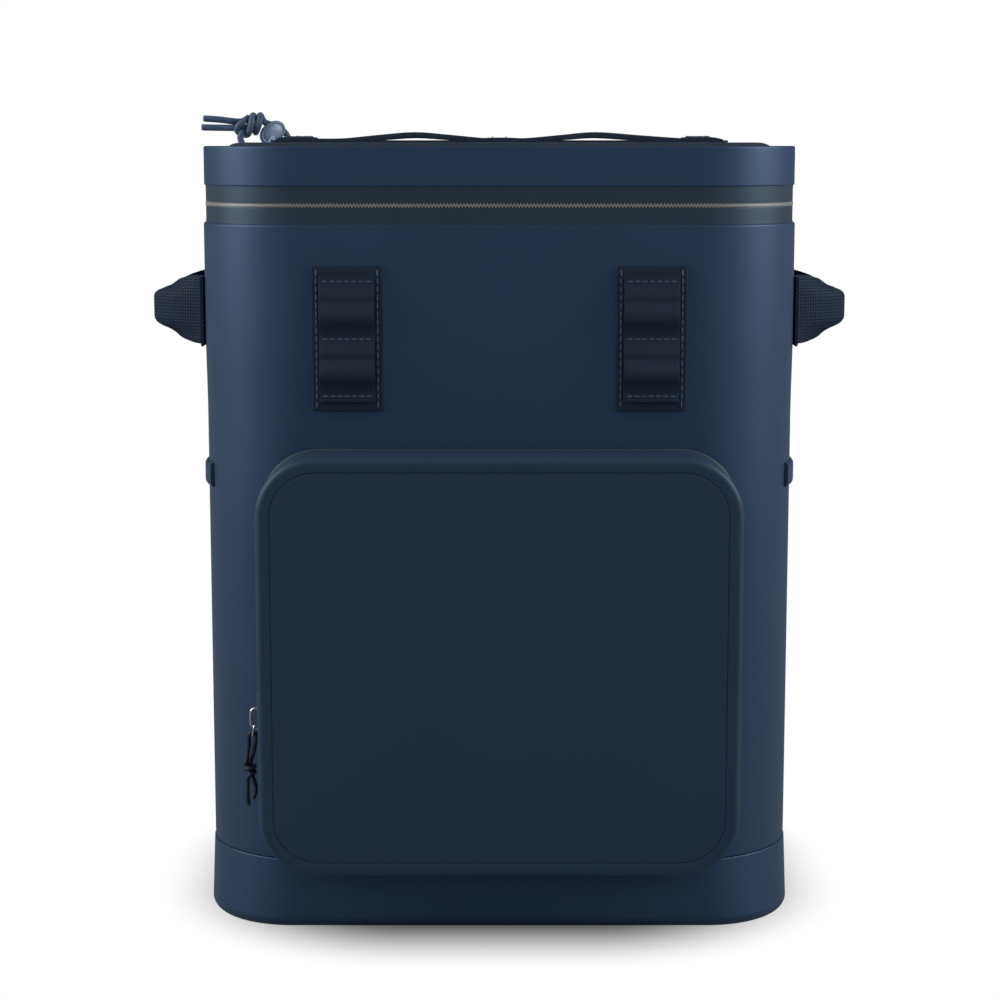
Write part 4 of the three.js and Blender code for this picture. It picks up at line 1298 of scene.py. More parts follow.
def united(
    name: str, body: Piece, added: Piece
) -> Piece:
    """Makes one solid of two that overlap.

    Args:
        name: Name of the result.
        body: The first solid, which goes.
        added: The second, which goes too.

    Returns:
        The joined solid.
    """
    body.modifiers.clear()
    union = body.modifiers.new("union", "BOOLEAN")
    union.operation = "UNION"
    union.solver = "EXACT"
    union.object = added
    mesh = evaluated(body, name)
    mesh.shade_smooth()
    mesh.set_sharp_from_angle(angle=math.radians(40))
    for old in (body, added):
        bpy.data.objects.remove(old)
    return linked(name, mesh)


def mirrored(piece: Piece, name: str) -> Piece:
    """A copy of a piece on the bag's other side.

    Args:
        piece: The piece.
        name: Name of the copy.

    Returns:
        The copy, mirrored in X.
    """
    work = bmesh.new()
    work.from_mesh(piece.data)
    for vert in work.verts:
        vert.co.x = -vert.co.x
    bmesh.ops.reverse_faces(work, faces=work.faces[:])
    mesh = bpy.data.meshes.new(name)
    work.to_mesh(mesh)
    work.free()
    return linked(name, mesh)


def closed_tube(name: str, line: np.ndarray, diameter: float) -> Piece:
    """A round cord along a flat closed line.

    Args:
        name: Name of the piece.
        line: The points that it follows, in a plane across Y.
        diameter: Its diameter.

    Returns:
        The object.
    """
    sides = 10
    steps = np.roll(line, -1, axis=0) - np.roll(line, 1, axis=0)
    off = Vector((0, 1, 0))
    rings = []
    for point, step in zip(line, steps, strict=True):
        side = off.cross(Vector(step)).normalized()
        rings.append(circle(Vector(point), side, off, diameter / 2, sides))
    around = [math.pi * diameter * j / sides for j in range(sides + 1)]
    vs = travelled(line)
    return Mesher().grid(rings, around, [*vs, vs[-1] + diameter], loop=True).build(name)


def eased(points: Sequence[Vector], radius: float, steps: int) -> list[Vector]:
    """A line with its bends rounded off.

    Args:
        points: The line's corners.
        radius: How far from a corner its rounding starts.
        steps: Steps in each rounding.

    Returns:
        The rounded line.
    """
    out = [points[0]]
    for before, corner, after in zip(points, points[1:], points[2:], strict=False):
        first, last = before - corner, after - corner
        reach = min(radius, first.length / 2.2, last.length / 2.2)
        start = corner + first.normalized() * reach
        end = corner + last.normalized() * reach
        for i in range(steps + 1):
            t = i / steps
            out.append(start * (1 - t) ** 2 + corner * 2 * t * (1 - t) + end * t**2)
    return [*out, points[-1]]


@dataclass(frozen=True)
class Comb:
    """A row of small teeth along an outline, shifted to and fro by turns."""

    pitch: float
    width: float
    height: float
    back: float
    front: float
    shift: float
    taper: float

    def build(
        self, name: str, path: Sequence[RimPoint], middle: float, place: Place = upright
    ) -> Piece:
        """Makes the teeth.

        Args:
            name: Name of the piece.
            path: The outline.
            middle: Height of their middle.
            place: Puts a local point in the frame.

        Returns:
            The object.
        """
        runs = [p.run for p in path]
        table = np.array([(p.x, p.y, p.nx, p.ny) for p in path])
        faces = [(0, 1, 2, 3)]
        for ring in (0, 4):
            for k in range(4):
                faces.append((ring + k, ring + (k + 1) % 4, ring + (k + 1) % 4 + 4, ring + k + 4))
        faces.append((11, 10, 9, 8))
        depths = ((self.back, 1.0), (self.front - 0.0003, 1.0), (self.front, self.taper))
        mesher = Mesher()
        for i in range(int(runs[-1] / self.pitch)):
            run = (i + 0.5) * self.pitch
            x, y, nx, ny = (float(np.interp(run, runs, table[:, c])) for c in range(4))
            z = middle + self.shift * (1 if i % 2 else -1)
            corners = []
            for out, share in depths:
                for u, w in ((-1, -1), (1, -1), (1, 1), (-1, 1)):
                    side = u * self.width / 2 * share
                    high = w * (self.height / 2 - (1 - share) * self.width / 2)
                    spot = place(x + nx * out - ny * side, y + ny * out + nx * side, z + high)
                    corners.append(tuple(spot))
            mesher.block(np.array(corners), faces)
        return mesher.build(name, sharp=20)


@dataclass(frozen=True)
class Padding:
    """How a padded piece is filled out, by cloth that foam presses on from inside."""

    voxel: float = 0.005
    pressure: float = 4.0
    frames: int = 20
    limit: float = 0.005

    def fill(self, piece: Piece, held: Callable[[Vector], float]) -> None:
        """Fills a closed piece out.

        Args:
            piece: The piece.
            held: Gives how firmly a point is held, from 0 to 1.
        """
        piece.modifiers.clear()
        remesh = piece.modifiers.new("even faces", "REMESH")
        remesh.mode = "VOXEL"
        remesh.voxel_size = self.voxel
        self.settle(piece)
        smooth = piece.modifiers.new("smooth", "SMOOTH")
        smooth.iterations = 2
        self.settle(piece)
        start = np.array([tuple(v.co) for v in piece.data.vertices])
        group = piece.vertex_groups.new(name="held")
        for vert in piece.data.vertices:
            group.add([vert.index], held(vert.co), "REPLACE")
        cloth = piece.modifiers.new("cloth", "CLOTH")
        cloth.settings.vertex_group_mass = "held"
        cloth.settings.quality = 6
        cloth.settings.mass = 0.25
        cloth.settings.tension_stiffness = 12
        cloth.settings.compression_stiffness = 12
        cloth.settings.bending_stiffness = 0.6
        cloth.settings.use_pressure = True
        cloth.settings.uniform_pressure_force = self.pressure
        cloth.settings.effector_weights.gravity = 0.0
        cloth.collision_settings.use_collision = False
        cloth.point_cache.frame_start = 1
        cloth.point_cache.frame_end = self.frames
        scene = bpy.context.scene
        for frame in range(1, self.frames + 1):
            scene.frame_set(frame)
        self.settle(piece)
        scene.frame_set(1)
        end = np.array([tuple(v.co) for v in piece.data.vertices])
        moved = end - start
        length = np.linalg.norm(moved, axis=1)[:, None]
        share = self.limit * np.tanh(length / self.limit) / np.maximum(length, 1e-9)
        piece.data.vertices.foreach_set("co", (start + moved * share).ravel())
        finer = piece.modifiers.new("finer", "SUBSURF")
        finer.levels = finer.render_levels = 1
        self.settle(piece)
        wrap_cloth(piece.data)
        piece.data.shade_smooth()
        LOG.info("%s filled out by up to %.1f mm", piece.name, 1000 * float(length.max()))

    @staticmethod
    def settle(piece: Piece) -> None:
        """Makes a piece's modifiers part of its mesh."""
        mesh = evaluated(piece, piece.name)
        piece.modifiers.clear()
        piece.data = mesh


def wrap_cloth(mesh: bpy.types.Mesh) -> None:
    """Gives a mesh cloth coordinates, from the side that each face looks to."""
    layer = mesh.uv_layers.new(name=CLOTH_UV)
    across = {0: (1, 2), 1: (0, 2), 2: (0, 1)}
    for face in mesh.polygons:
        main_axis = max(range(3), key=lambda i: abs(face.normal[i]))
        a, b = across[main_axis]
        for corner in face.loop_indices:
            spot = mesh.vertices[mesh.loops[corner].vertex_index].co
            layer.data[corner].uv = (spot[a], spot[b])


@dataclass
class PullCords:
    """A doubled pull cord: two strands from the pull, knotted together, with two tails."""

    name: str
    frame: LocalFrame
    diameter: float
    finish: str
    strands: tuple[tuple[str, tuple[str, ...], Sequence[Sequence[float]]], ...]
    spans: int = 9

    def build(self, wardrobe: Wardrobe) -> None:
        """Makes each strand as one cord, from the pull to its cut end, in place of its CAD nodes.

        Args:
            wardrobe: The finishes.
        """
        for label, nodes, points in self.strands:
            places = [self.frame.place(*(MM * value for value in p)) for p in points]
            line = spline(places, self.spans)
            piece = tube(f"{self.name}_{label}", line, self.diameter)
            wardrobe.dress(piece, self.finish, *nodes)
            length = float(np.linalg.norm(np.diff(line, axis=0), axis=1).sum())
            LOG.info("%s is %.0f mm long", piece.name, length * 1000)


@dataclass
class BodyShell:
    """Base panel and insulated body."""

    envelope: Envelope
    wardrobe: Wardrobe
    base_proud: float = 0.0005
    base_edge: float = 0.007
    base_corner: float = 0.052
    swell: float = 0.0006
    swell_low: float = 0.303
    swell_high: float = 0.348
    lip: float = 0.0014
    wall: float = 0.022
    floor: float = 0.003
    rim_inset: float = 0.0042

    def base(self) -> None:
        """Builds the foam base panel with its rounded lower edge."""
        e = self.envelope
        top = e.base_top - GAP
        proud = self.base_proud
        rows = [
            *[(*row, self.base_corner) for row in fillet(0.0, 0.0, self.base_edge, 1, 12)],
            (0.0, top - 0.0006),
            (0.0006, top),
        ]
        panel = loft(
            "base_panel_cloth", e.half_x + proud, e.half_y + proud, e.corner + proud, rows
        )
        self.wardrobe.dress(panel, "shell cloth", "base_panel")

    def body(self) -> None:
        """Builds the body: outside, rim behind the zip band, and open cavity."""
        e = self.envelope
        rows = [
            (0.0008, e.base_top),
            (0.0002, e.base_top + 0.0004),
            (0.0, e.base_top + 0.004),
        ]
        for i in range(9):
            share = i / 8
            eased = share * share * (3 - 2 * share)
            z = self.swell_low + (self.swell_high - self.swell_low) * share
            rows.append((-self.swell * eased, z))
        rows += fillet(-self.swell, e.shell_top, self.lip, -1, 5)[::-1]
        inner = e.base_top + self.floor
        rows += [
            (self.rim_inset, e.shell_top),
            (self.rim_inset, e.lid_bottom - GAP),
            (self.wall, e.lid_bottom - GAP),
            *fillet(self.wall, inner, 0.008, 1)[::-1],
        ]
        body = loft("body_cloth", e.half_x, e.half_y, e.corner, rows)
        self.wardrobe.dress(body, "shell cloth", "body_shell")

    def build(self) -> None:
        """Builds both."""
        self.base()
        self.body()


@dataclass
class ZipBand:
    """The band between body and lid: two tapes, the closed teeth, and the hinge at the back."""

    envelope: Envelope
    wardrobe: Wardrobe
    recess: float = 0.0009
    thick: float = 0.003
    lip: float = 0.0001
    lip_height: float = 0.0016
    chain_half: float = 0.0010
    tooth_pitch: float = 0.0019
    tooth_width: float = 0.0008
    tooth_height: float = 0.0019
    tooth_shift: float = 0.00036
    tooth_front: float = -0.00065
    tooth_back: float = -0.0022
    end_angle: float = 34.0

    def path(self) -> list[RimPoint]:
        """The zip's way round the sides and the front."""
        e = self.envelope
        return rim(e.half_x, e.half_y, e.corner, 90 + self.end_angle, 450 - self.end_angle)

    def tape(self, name: str, node: str, outer: float, inner: float) -> None:
        """Builds one tape.

        Args:
            name: Name of the piece.
            node: The CAD node that it stands for.
            outer: Height of its edge on the body or lid.
            inner: Height of its edge at the teeth.
        """
        way = 1 if inner > outer else -1
        front, back = -self.recess, -self.recess - self.thick
        profile = [
            (back, outer - way * GAP),
            (front + self.lip, outer - way * GAP),
            (front + self.lip, outer + way * self.lip_height * 0.7),
            (front, outer + way * self.lip_height),
            (front, inner - way * 0.0006),
            (front - 0.0002, inner),
            (back, inner),
        ]
        piece = sweep(name, self.path(), profile)
        self.wardrobe.dress(piece, "zip tape cloth", node)

    def teeth(self) -> None:
        """Builds the teeth, by turns from the upper and the lower tape, over a dark core."""
        middle = (self.envelope.shell_top + self.envelope.lid_bottom) / 2
        path = self.path()
        comb = Comb(
            self.tooth_pitch / 2,
            self.tooth_width,
            self.tooth_height,
            self.tooth_back,
            self.tooth_front,
            self.tooth_shift,
            0.62,
        )
        teeth = comb.build("zip_teeth", path, middle)
        self.wardrobe.dress(teeth, "zip teeth metal", "zip_chain")
        back = -self.recess - self.thick
        half = self.chain_half
        core_front = self.tooth_front - 0.0009
        profile = [
            (back, middle - half),
            (core_front, middle - half),
            (core_front, middle + half),
            (back, middle + half),
        ]
        core = sweep("zip_core", path, profile)
        self.wardrobe.dress(core, "zip weave")

    def hinge(self) -> None:
        """Builds the cloth strip that closes the back."""
        e = self.envelope
        clearance = 0.3
        low, high = e.shell_top + GAP, e.lid_bottom - GAP
        path = rim(
            e.half_x,
            e.half_y,
            e.corner,
            90 - self.end_angle + clearance,
            90 + self.end_angle - clearance,
        )
        front, back = -self.recess, -self.recess - self.thick
        profile = [(back, low), (front + self.lip, low)]
        for i in range(1, 10):
            share = i / 10
            sag = 0.0006 * math.sin(math.pi * share)
            profile.append((front + self.lip - sag, low + (high - low) * share))
        profile += [(front + self.lip, high), (back, high)]
        piece = sweep("lid_hinge_cloth", path, profile)
        self.wardrobe.dress(piece, "shell cloth", "lid_hinge")

    def build(self) -> None:
        """Builds all the parts of the band."""
        e = self.envelope
        middle = (e.shell_top + e.lid_bottom) / 2
        inner = self.chain_half + GAP
        self.tape("zip_tape_low", "zip_tape_lower", e.shell_top + GAP, middle - inner)
        self.tape("zip_tape_high", "zip_tape_upper", e.lid_bottom - GAP, middle + inner)
        self.teeth()
        self.hinge()


@dataclass
class Lid:
    """The foam lid, its raised panel, and the strap that is sewn across it."""

    envelope: Envelope
    wardrobe: Wardrobe
    edge: float = 0.0013
    hem: float = 0.0006
    border: float = 0.015
    slope: float = 0.007
    strap_rise: float = 0.0015
    strap_thick: float = 0.0015
    # Along is a share of the half length, rise of a loop's rise and thick of the strap's.
    strap_rows: tuple[tuple[float, float, float], ...] = (
        (-1.0, 0.0, 0.6), (-0.97, 0.0, 1.5), (-0.84, 0.0, 1.5), (-0.83, 0.0, 1.0),
        (-0.7, 0.0, 1.0), (-0.55, 0.1, 2.2), (-0.38, 1.0, 2.5), (-0.22, 0.2, 2.2),
        (-0.08, 0.0, 1.2), (-0.04, 0.0, 1.3), (0.04, 0.0, 1.3), (0.12, 0.0, 1.1),
        (0.28, 0.2, 2.2), (0.43, 1.0, 2.5), (0.62, 0.1, 2.2), (0.81, 0.0, 1.1),
        (0.84, 0.0, 1.5), (0.95, 0.0, 1.5), (1.0, 0.0, 0.6),
    )
    blocks: tuple[Row, ...] = ((-0.96, -0.85), (0.85, 0.94))
    tacks: Row = (-0.03, 0.03)

    def foam(self) -> None:
        """Builds the lid itself."""
        e = self.envelope
        rows = [
            *fillet(0.0, e.lid_bottom, self.hem, 1, 5),
            *fillet(0.0, e.lid_top, self.edge, -1, 8)[::-1],
        ]
        piece = loft("lid_cloth", e.half_x, e.half_y, e.corner, rows)
        self.wardrobe.dress(piece, "shell cloth", "lid")

    def raised_panel(self) -> None:
        """Builds the panel that slopes down to the lid all round."""
        e = self.envelope
        low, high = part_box("lid_raised_panel")
        rows = []
        for i in range(11):
            share = i / 10
            rise = math.sin(share * math.pi / 2) ** 0.7
            rows.append((self.slope * share, e.lid_top + (high.z - e.lid_top) * rise))
        piece = loft("lid_panel_cloth", high.x, high.y, e.corner - self.border, rows)
        self.wardrobe.dress(piece, "lid panel cloth", "lid_raised_panel")

    def strap(self) -> None:
        """Builds the strap with its two loops, its backing, and its stitching."""
        low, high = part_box("lid_strap_backing")
        rows = [(0.0, low.z - 2 * GAP), (0.0, high.z), (0.0003, high.z + GAP)]
        backing = loft("lid_strap_base", high.x, high.y, 0.003, rows, corner_steps=6)
        self.wardrobe.dress(backing, "panel webbing", "lid_strap_backing")
        low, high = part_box("lid_strap")
        stations = []
        for along, rise, thick in spline(self.strap_rows, 4):
            under = low.z - GAP + max(rise, 0.0) * self.strap_rise
            deep = max(thick, 0.5) * self.strap_thick
            at = Vector((along * high.x, 0.0, under + deep / 2))
            stations.append(Station(at, Vector((0, 1, 0)), 2 * high.y, deep))
        piece = strap("lid_strap_webbing", stations)
        self.wardrobe.dress(piece, "loop webbing", "lid_strap")
        inside = high.y - SEAM
        up = Vector((0, 0, 1))
        block_top = low.z + 1.5 * self.strap_thick
        tack_top = low.z + 1.3 * self.strap_thick
        runs = []
        for first, last in self.blocks:
            box = box_lines(first * high.x, -inside, last * high.x, inside)
            runs += stitch_rows(lambda x, y: Vector((x, y, block_top)), up, box)
        lines = [(share * high.x, -inside, share * high.x, inside) for share in self.tacks]
        runs += stitch_rows(lambda x, y: Vector((x, y, tack_top)), up, lines)
        Sewing().piece(self.wardrobe, "lid_strap_stitches", runs)

    def build(self) -> None:
        """Builds all the parts of the lid."""
        self.foam()
        self.raised_panel()
        self.strap()


# Cords through the main pull's eye, in millimetres in the main slider's frame.
MAIN_INNER = (
    (0.11, 27.5, 6.39), (2.4, 27.6, 3.85), (5, 27.9, 2.35), (9, 28.8, 1.95), (14.5, 30.2, 1.6),
    (20, 32.2, 1.2), (24.2, 33.8, 1.8), (25.6, 36.2, 1.8), (26.4, 39.3, 1.9),
    (24.7, 42.6, 1.7), (20.6, 45.8, 2.8), (16.8, 48.4, 2.6), (14.3, 48.8, 3.8),
    (15.0, 46.4, 6.0), (18.8, 45.5, 7.1), (23.6, 45.3, 7.2), (28.1, 45.2, 9.3),
    (33.0, 45.3, 13.6), (39.0, 45.4, 17.6), (44.6, 45.6, 21.4),
)
MAIN_OUTER = (
    (-0.11, 27.5, 6.61), (-2.6, 27.4, 9.1), (-5.8, 27.4, 11.6), (-11, 28.8, 12.9),
    (-15, 33.4, 12.8), (-14.6, 39.2, 12.2), (-10.4, 43.8, 11.6), (-4, 46.6, 11.2),
    (3, 48.8, 10.8), (7.1, 50.6, 6.7), (10.6, 53.1, 2.8), (13.3, 53.0, -1.1),
    (15.2, 50.0, -4.2), (16.4, 46.0, -4.4), (16.2, 42.9, -1.1), (14.0, 42.6, 3.9),
    (10.7, 46.0, 8.4), (11.7, 50.6, 8.1), (15.3, 53.2, 4.1), (18.5, 52.2, -0.3),
    (20.5, 48.4, -2.6), (21.4, 44.0, -2.0), (21.0, 41.2, 1.4), (20.6, 40.8, 6.7),
    (23.6, 41.8, 7.9), (27.0, 43.8, 5.0), (27.2, 46.6, 2.2), (24.7, 49.2, 1.0),
    (21.2, 51.0, 2.5), (18.2, 51.6, 6.7), (17.5, 50.4, 10.9), (21.8, 49.3, 10.6),
    (27.3, 49.5, 10.5), (32.6, 50.3, 13.3), (38.2, 50.9, 16.7), (43.7, 51.3, 20.4),
)
# Cords through the pocket pull's link, in millimetres in the pocket slider's frame. The outer
# strand is wound round the inner one.
POCKET_INNER = (
    (0, -22.95, 6.05), (0, -22.95, 5.5), (0, -24, 4.3), (0, -25.6, 3.9), (0, -27.8, 4.3),
    (0, -31, 5), (0, -35, 5.8), (-0.1, -40.2, 7.4), (-0.3, -44, 8.1), (-1.3, -47.7, 7.2),
    (-1.8, -53, 5.8), (-2.2, -57, 5), (-2.2, -60.6, 5.6), (-1.8, -63.6, 6.6),
)
POCKET_OUTER = (
    (0, -22.95, 6.35), (0, -22.95, 6.9), (0, -24.1, 8), (0, -25.6, 8.4), (0, -27.8, 8.4),
    (0, -31, 8.6), (0.3, -35, 9.2), (1.6, -39.3, 9.6), (1.3, -40.9, 10.3), (-0.6, -41.9, 10.8),
    (-2.91, -42.54, 8.8), (-2.64, -42.91, 6.75), (-1.0, -43.29, 5.49), (1.05, -43.67, 5.76),
    (2.31, -44.05, 7.4), (2.04, -44.43, 9.45), (0.4, -44.81, 10.71), (-1.65, -45.19, 10.44),
    (-2.91, -45.56, 8.8), (-2.64, -45.94, 6.75), (-1.0, -46.32, 5.49), (1.05, -46.7, 5.76),
    (2.3, -47.8, 7.6), (1.9, -50, 9.1), (1.8, -53, 9.2), (2, -57, 9.4), (1.6, -61.6, 9.4),
    (1, -66.2, 9),
)


@dataclass
class MainPull:
    """The main zip's slider, its painted tab, and the cord knotted through the tab's eye."""

    envelope: Envelope
    wardrobe: Wardrobe
    turn: float = 214.0
    slider: tuple[float, float, float] = (0.017, 0.009, 0.0036)
    slider_back: float = -0.0002
    tab_back: float = 0.005
    tab_thick: float = 0.003
    tab_bevel: float = 0.0007
    post: float = 0.002
    cap: float = 0.0032
    cap_thick: float = 0.0012
    eye: Row = (0.0095, 0.0055)
    head: Row = (0.020, 0.014)
    head_tilt: float = -30.0
    eye_below: float = 0.006
    head_above: float = 0.0086
    # Height over the pivot and half the width of the stem.
    stem: tuple[Row, ...] = (
        (-0.0074, 0.0), (-0.007, 0.0022), (-0.0035, 0.0043), (0.0, 0.0045), (0.0083, 0.0045),
        (0.0193, 0.0062), (0.0242, 0.0077), (0.0309, 0.0077), (0.0345, 0.0058),
        (0.0379, 0.0045), (0.0415, 0.0045),
    )

    def frame(self) -> LocalFrame:
        """The frame on the corner where the zip ends, with Z away from the wall."""
        e = self.envelope
        turn, angle = math.radians(self.turn), math.radians(self.turn - 90)
        x = e.corner - e.half_x + e.corner * math.cos(angle)
        y = e.half_y - e.corner + e.corner * math.sin(angle)
        return LocalFrame(
            Vector((x, y, (e.shell_top + e.lid_bottom) / 2)),
            Vector((math.cos(turn), math.sin(turn), 0)),
            Vector((0, 0, 1)),
            Vector((math.sin(turn), -math.cos(turn), 0)),
        )

    def cords(self) -> PullCords:
        """The two strands, with the CAD nodes that each stands for."""
        strands = (
            ("inner", ("main_cord_inner", "main_tail_lower"), MAIN_INNER),
            ("outer", ("main_cord_outer", "main_pull_knot", "main_tail_upper"), MAIN_OUTER),
        )
        return PullCords("main_strand", self.frame(), 0.0043, "pull cord", strands)

    def slider_piece(self) -> None:
        """Builds the slider's body, and the post with its cap."""
        long, high, thick = self.slider
        frame = self.frame()
        back, front = self.slider_back, self.slider_back + thick
        rows = [
            *fillet(0.0, back, 0.0005, 1, 3),
            *fillet(0.0, front, 0.0012, -1, 5)[::-1],
            (0.0022, front + 0.0002),
        ]
        body = loft(
            "main_slider_body", long / 2, high / 2, high / 3, rows, frame.place, corner_steps=8
        )
        cap_back = self.tab_back + self.tab_thick + GAP
        cap_front = cap_back + self.cap_thick
        step = self.cap - self.post
        rows = [
            (step, front - 0.0003),
            (step, cap_back),
            *fillet(0.0, cap_back, 0.0002, 1, 2),
            *fillet(0.0, cap_front, 0.0005, -1, 4)[::-1],
        ]
        cap = self.cap
        post = loft("main_slider_post", cap, cap, cap, rows, frame.place, corner_steps=8)
        self.wardrobe.dress(body, "painted pull", "main_slider")
        self.wardrobe.dress(post, "painted pull")

    def tab(self) -> None:
        """Builds the tab: a stem with an eye and a hole for the post, and an oval head."""
        e = self.envelope
        frame = self.frame()
        level = e.lid_top - (e.shell_top + e.lid_bottom) / 2
        eye_y, head_y = level - self.eye_below, level + self.head_above
        edge = [(float(half), float(y)) for y, half in spline(self.stem, 4)]
        outer = [*edge, *[(-x, y) for x, y in reversed(edge[1:])]]
        ring = [2 * math.pi * i / 32 for i in range(32)]
        eye = [
            (self.eye[0] / 2 * math.cos(a), eye_y + self.eye[1] / 2 * math.sin(a)) for a in ring
        ]
        reach = self.post + GAP
        pivot = [(reach * math.cos(a), reach * math.sin(a)) for a in ring]
        stem = cut_plate(
            "main_tab_stem", (outer, eye, pivot), self.tab_thick, self.tab_bevel, frame,
            self.tab_back,
        )
        tilt = math.radians(self.head_tilt)
        cos, sin = math.cos(tilt), math.sin(tilt)
        half_x, half_y = self.head[0] / 2, self.head[1] / 2

        def oval(x: float, y: float, z: float) -> Vector:
            """Places a point of a unit circle on the tilted head."""
            u, v = x * half_x, y * half_y
            return frame.place(u * cos - v * sin, head_y + u * sin + v * cos, z)

        thick = self.tab_thick
        face = [
            (0.30, 0.0), (0.27, 0.0001), (0.245, 0.0005), (0.205, 0.0005), (0.18, 0.0001),
            (0.15, 0.0), (0.08, 0.0001), (0.03, 0.0004), (0.0, 0.0010),
        ]
        rows = [(0.8, self.tab_back - 0.0002)]
        rows += [(inset, self.tab_back + deep) for inset, deep in face]
        rows += [(inset, self.tab_back + thick - deep) for inset, deep in reversed(face)]
        rows.append((0.8, self.tab_back + thick + 0.0002))
        head = loft("main_tab_head", 1.0, 1.0, 1.0, rows, oval, corner_steps=14)
        tab = united("main_tab", stem, head)
        self.wardrobe.dress(tab, "painted pull", "main_pull_tab")

    def build(self) -> None:
        """Builds slider and tab."""
        self.slider_piece()
        self.tab()


@dataclass
class Pocket:
    """The moulded front pocket with its welt and zip."""

    envelope: Envelope
    wardrobe: Wardrobe
    corner: float = 0.034
    rim_round: float = 0.004
    wall: float = 0.0025
    depth: float = 0.0405
    crown: float = 0.0015
    seam_inset: float = 0.0085
    seam_depth: float = 0.0006
    piping: float = 0.0011
    strip: float = 0.005
    zip_recess: float = 0.0012
    zip_width: float = 0.007
    coil: Row = (0.002, 0.0006)
    coil_pitch: float = 0.0012

    def frame(self) -> LocalFrame:
        """The frame on the front, in the middle of the pocket."""
        low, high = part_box("pocket_shell")
        return front_frame(0.0, -self.envelope.half_y, (low.z + high.z) / 2)

    def welt(self, half_x: float, half_y: float) -> None:
        """Builds the piping where the pocket meets the body."""
        low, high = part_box("pocket_welt")
        back = -self.envelope.half_y - high.y
        thick = high.y - low.y
        rows = [(self.strip, back)]
        for i in range(9):
            angle = math.pi * (i / 8 - 0.5)
            inset = self.piping - 0.0004 - self.piping * math.cos(angle)
            rows.append((inset, back + thick / 2 * (1 + math.sin(angle))))
        rows.append((self.strip, back + thick))
        welt = loft(
            "pocket_piping", half_x, half_y, self.corner, rows, self.frame().place, closed=True
        )
        self.wardrobe.dress(welt, "piping", "pocket_welt")

    def zipper(self, half_x: float, half_y: float) -> None:
        """Builds the zip's tape, and the bars of its coil."""
        frame = self.frame()
        back = -self.envelope.half_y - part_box("pocket_zip")[1].y
        middle, front = back + self.zip_width / 2, back + self.zip_width
        wide, proud = self.coil
        rows = [
            (self.zip_recess, back),
            (self.zip_recess + 0.0002, back + 0.0004),
            (self.zip_recess + 0.0002, middle - wide / 2),
            (self.zip_recess, middle - wide / 4),
            (self.zip_recess, middle + wide / 4),
            (self.zip_recess + 0.0002, middle + wide / 2),
            (self.zip_recess + 0.0002, front - 0.0004),
            (self.zip_recess, front),
            (self.strip, front),
            (self.strip, back),
        ]
        tape = loft(
            "pocket_zip_tape", half_x, half_y, self.corner, rows, frame.place, closed=True
        )
        self.wardrobe.dress(tape, "zip weave", "pocket_zip")
        inset = self.zip_recess
        path = rim(half_x - inset, half_y - inset, self.corner - inset)
        path.append(
            RimPoint(path[0].x, path[0].y, path[0].nx, path[0].ny, path[-1].run + half_y)
        )
        coil = Comb(self.coil_pitch, 0.0008, wide, -0.0006, proud - 0.0001, 0.0, 0.6)
        bars = coil.build("pocket_zip_coil", path[:-1], middle, frame.place)
        self.wardrobe.dress(bars, "zip weave")

    def shell(self, half_x: float, half_y: float) -> None:
        """Builds the moulded shell, with its rounded rim, seam groove and crowned face."""
        low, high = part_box("pocket_shell")
        back = -self.envelope.half_y - high.y
        deep, wall = self.depth, self.wall
        rows = [
            *fillet(wall, deep - wall, self.rim_round, -1, 5),
            (wall, back),
            (0.0003, back),
            (0.0, back + 0.0003),
            (0.0, back + 0.006),
            *fillet(0.0, deep, self.rim_round, -1, 10)[::-1],
        ]
        seam, depth = self.seam_inset, self.seam_depth
        rows += [
            (seam - 0.0009, deep),
            (seam - 0.0004, deep - depth * 0.4),
            (seam, deep - depth),
            (seam + 0.0004, deep - depth * 0.4),
            (seam + 0.0009, deep),
        ]
        start = seam + 0.0009
        span = 0.9 * (half_y - start)
        for i in range(1, 15):
            share = i / 14
            rise = math.sin(share * math.pi / 2) ** 0.9
            rows.append((start + span * share, deep + self.crown * rise))
        shell = loft("pocket_cloth", half_x, half_y, self.corner, rows, self.frame().place)
        self.wardrobe.dress(shell, "pocket cloth", "pocket_shell")

    def build(self) -> None:
        """Builds all the parts of the pocket."""
        low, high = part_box("pocket_shell")
        half_x, half_y = high.x, (high.z - low.z) / 2
        self.welt(half_x, half_y)
        self.zipper(half_x, half_y)
        self.shell(half_x, half_y)


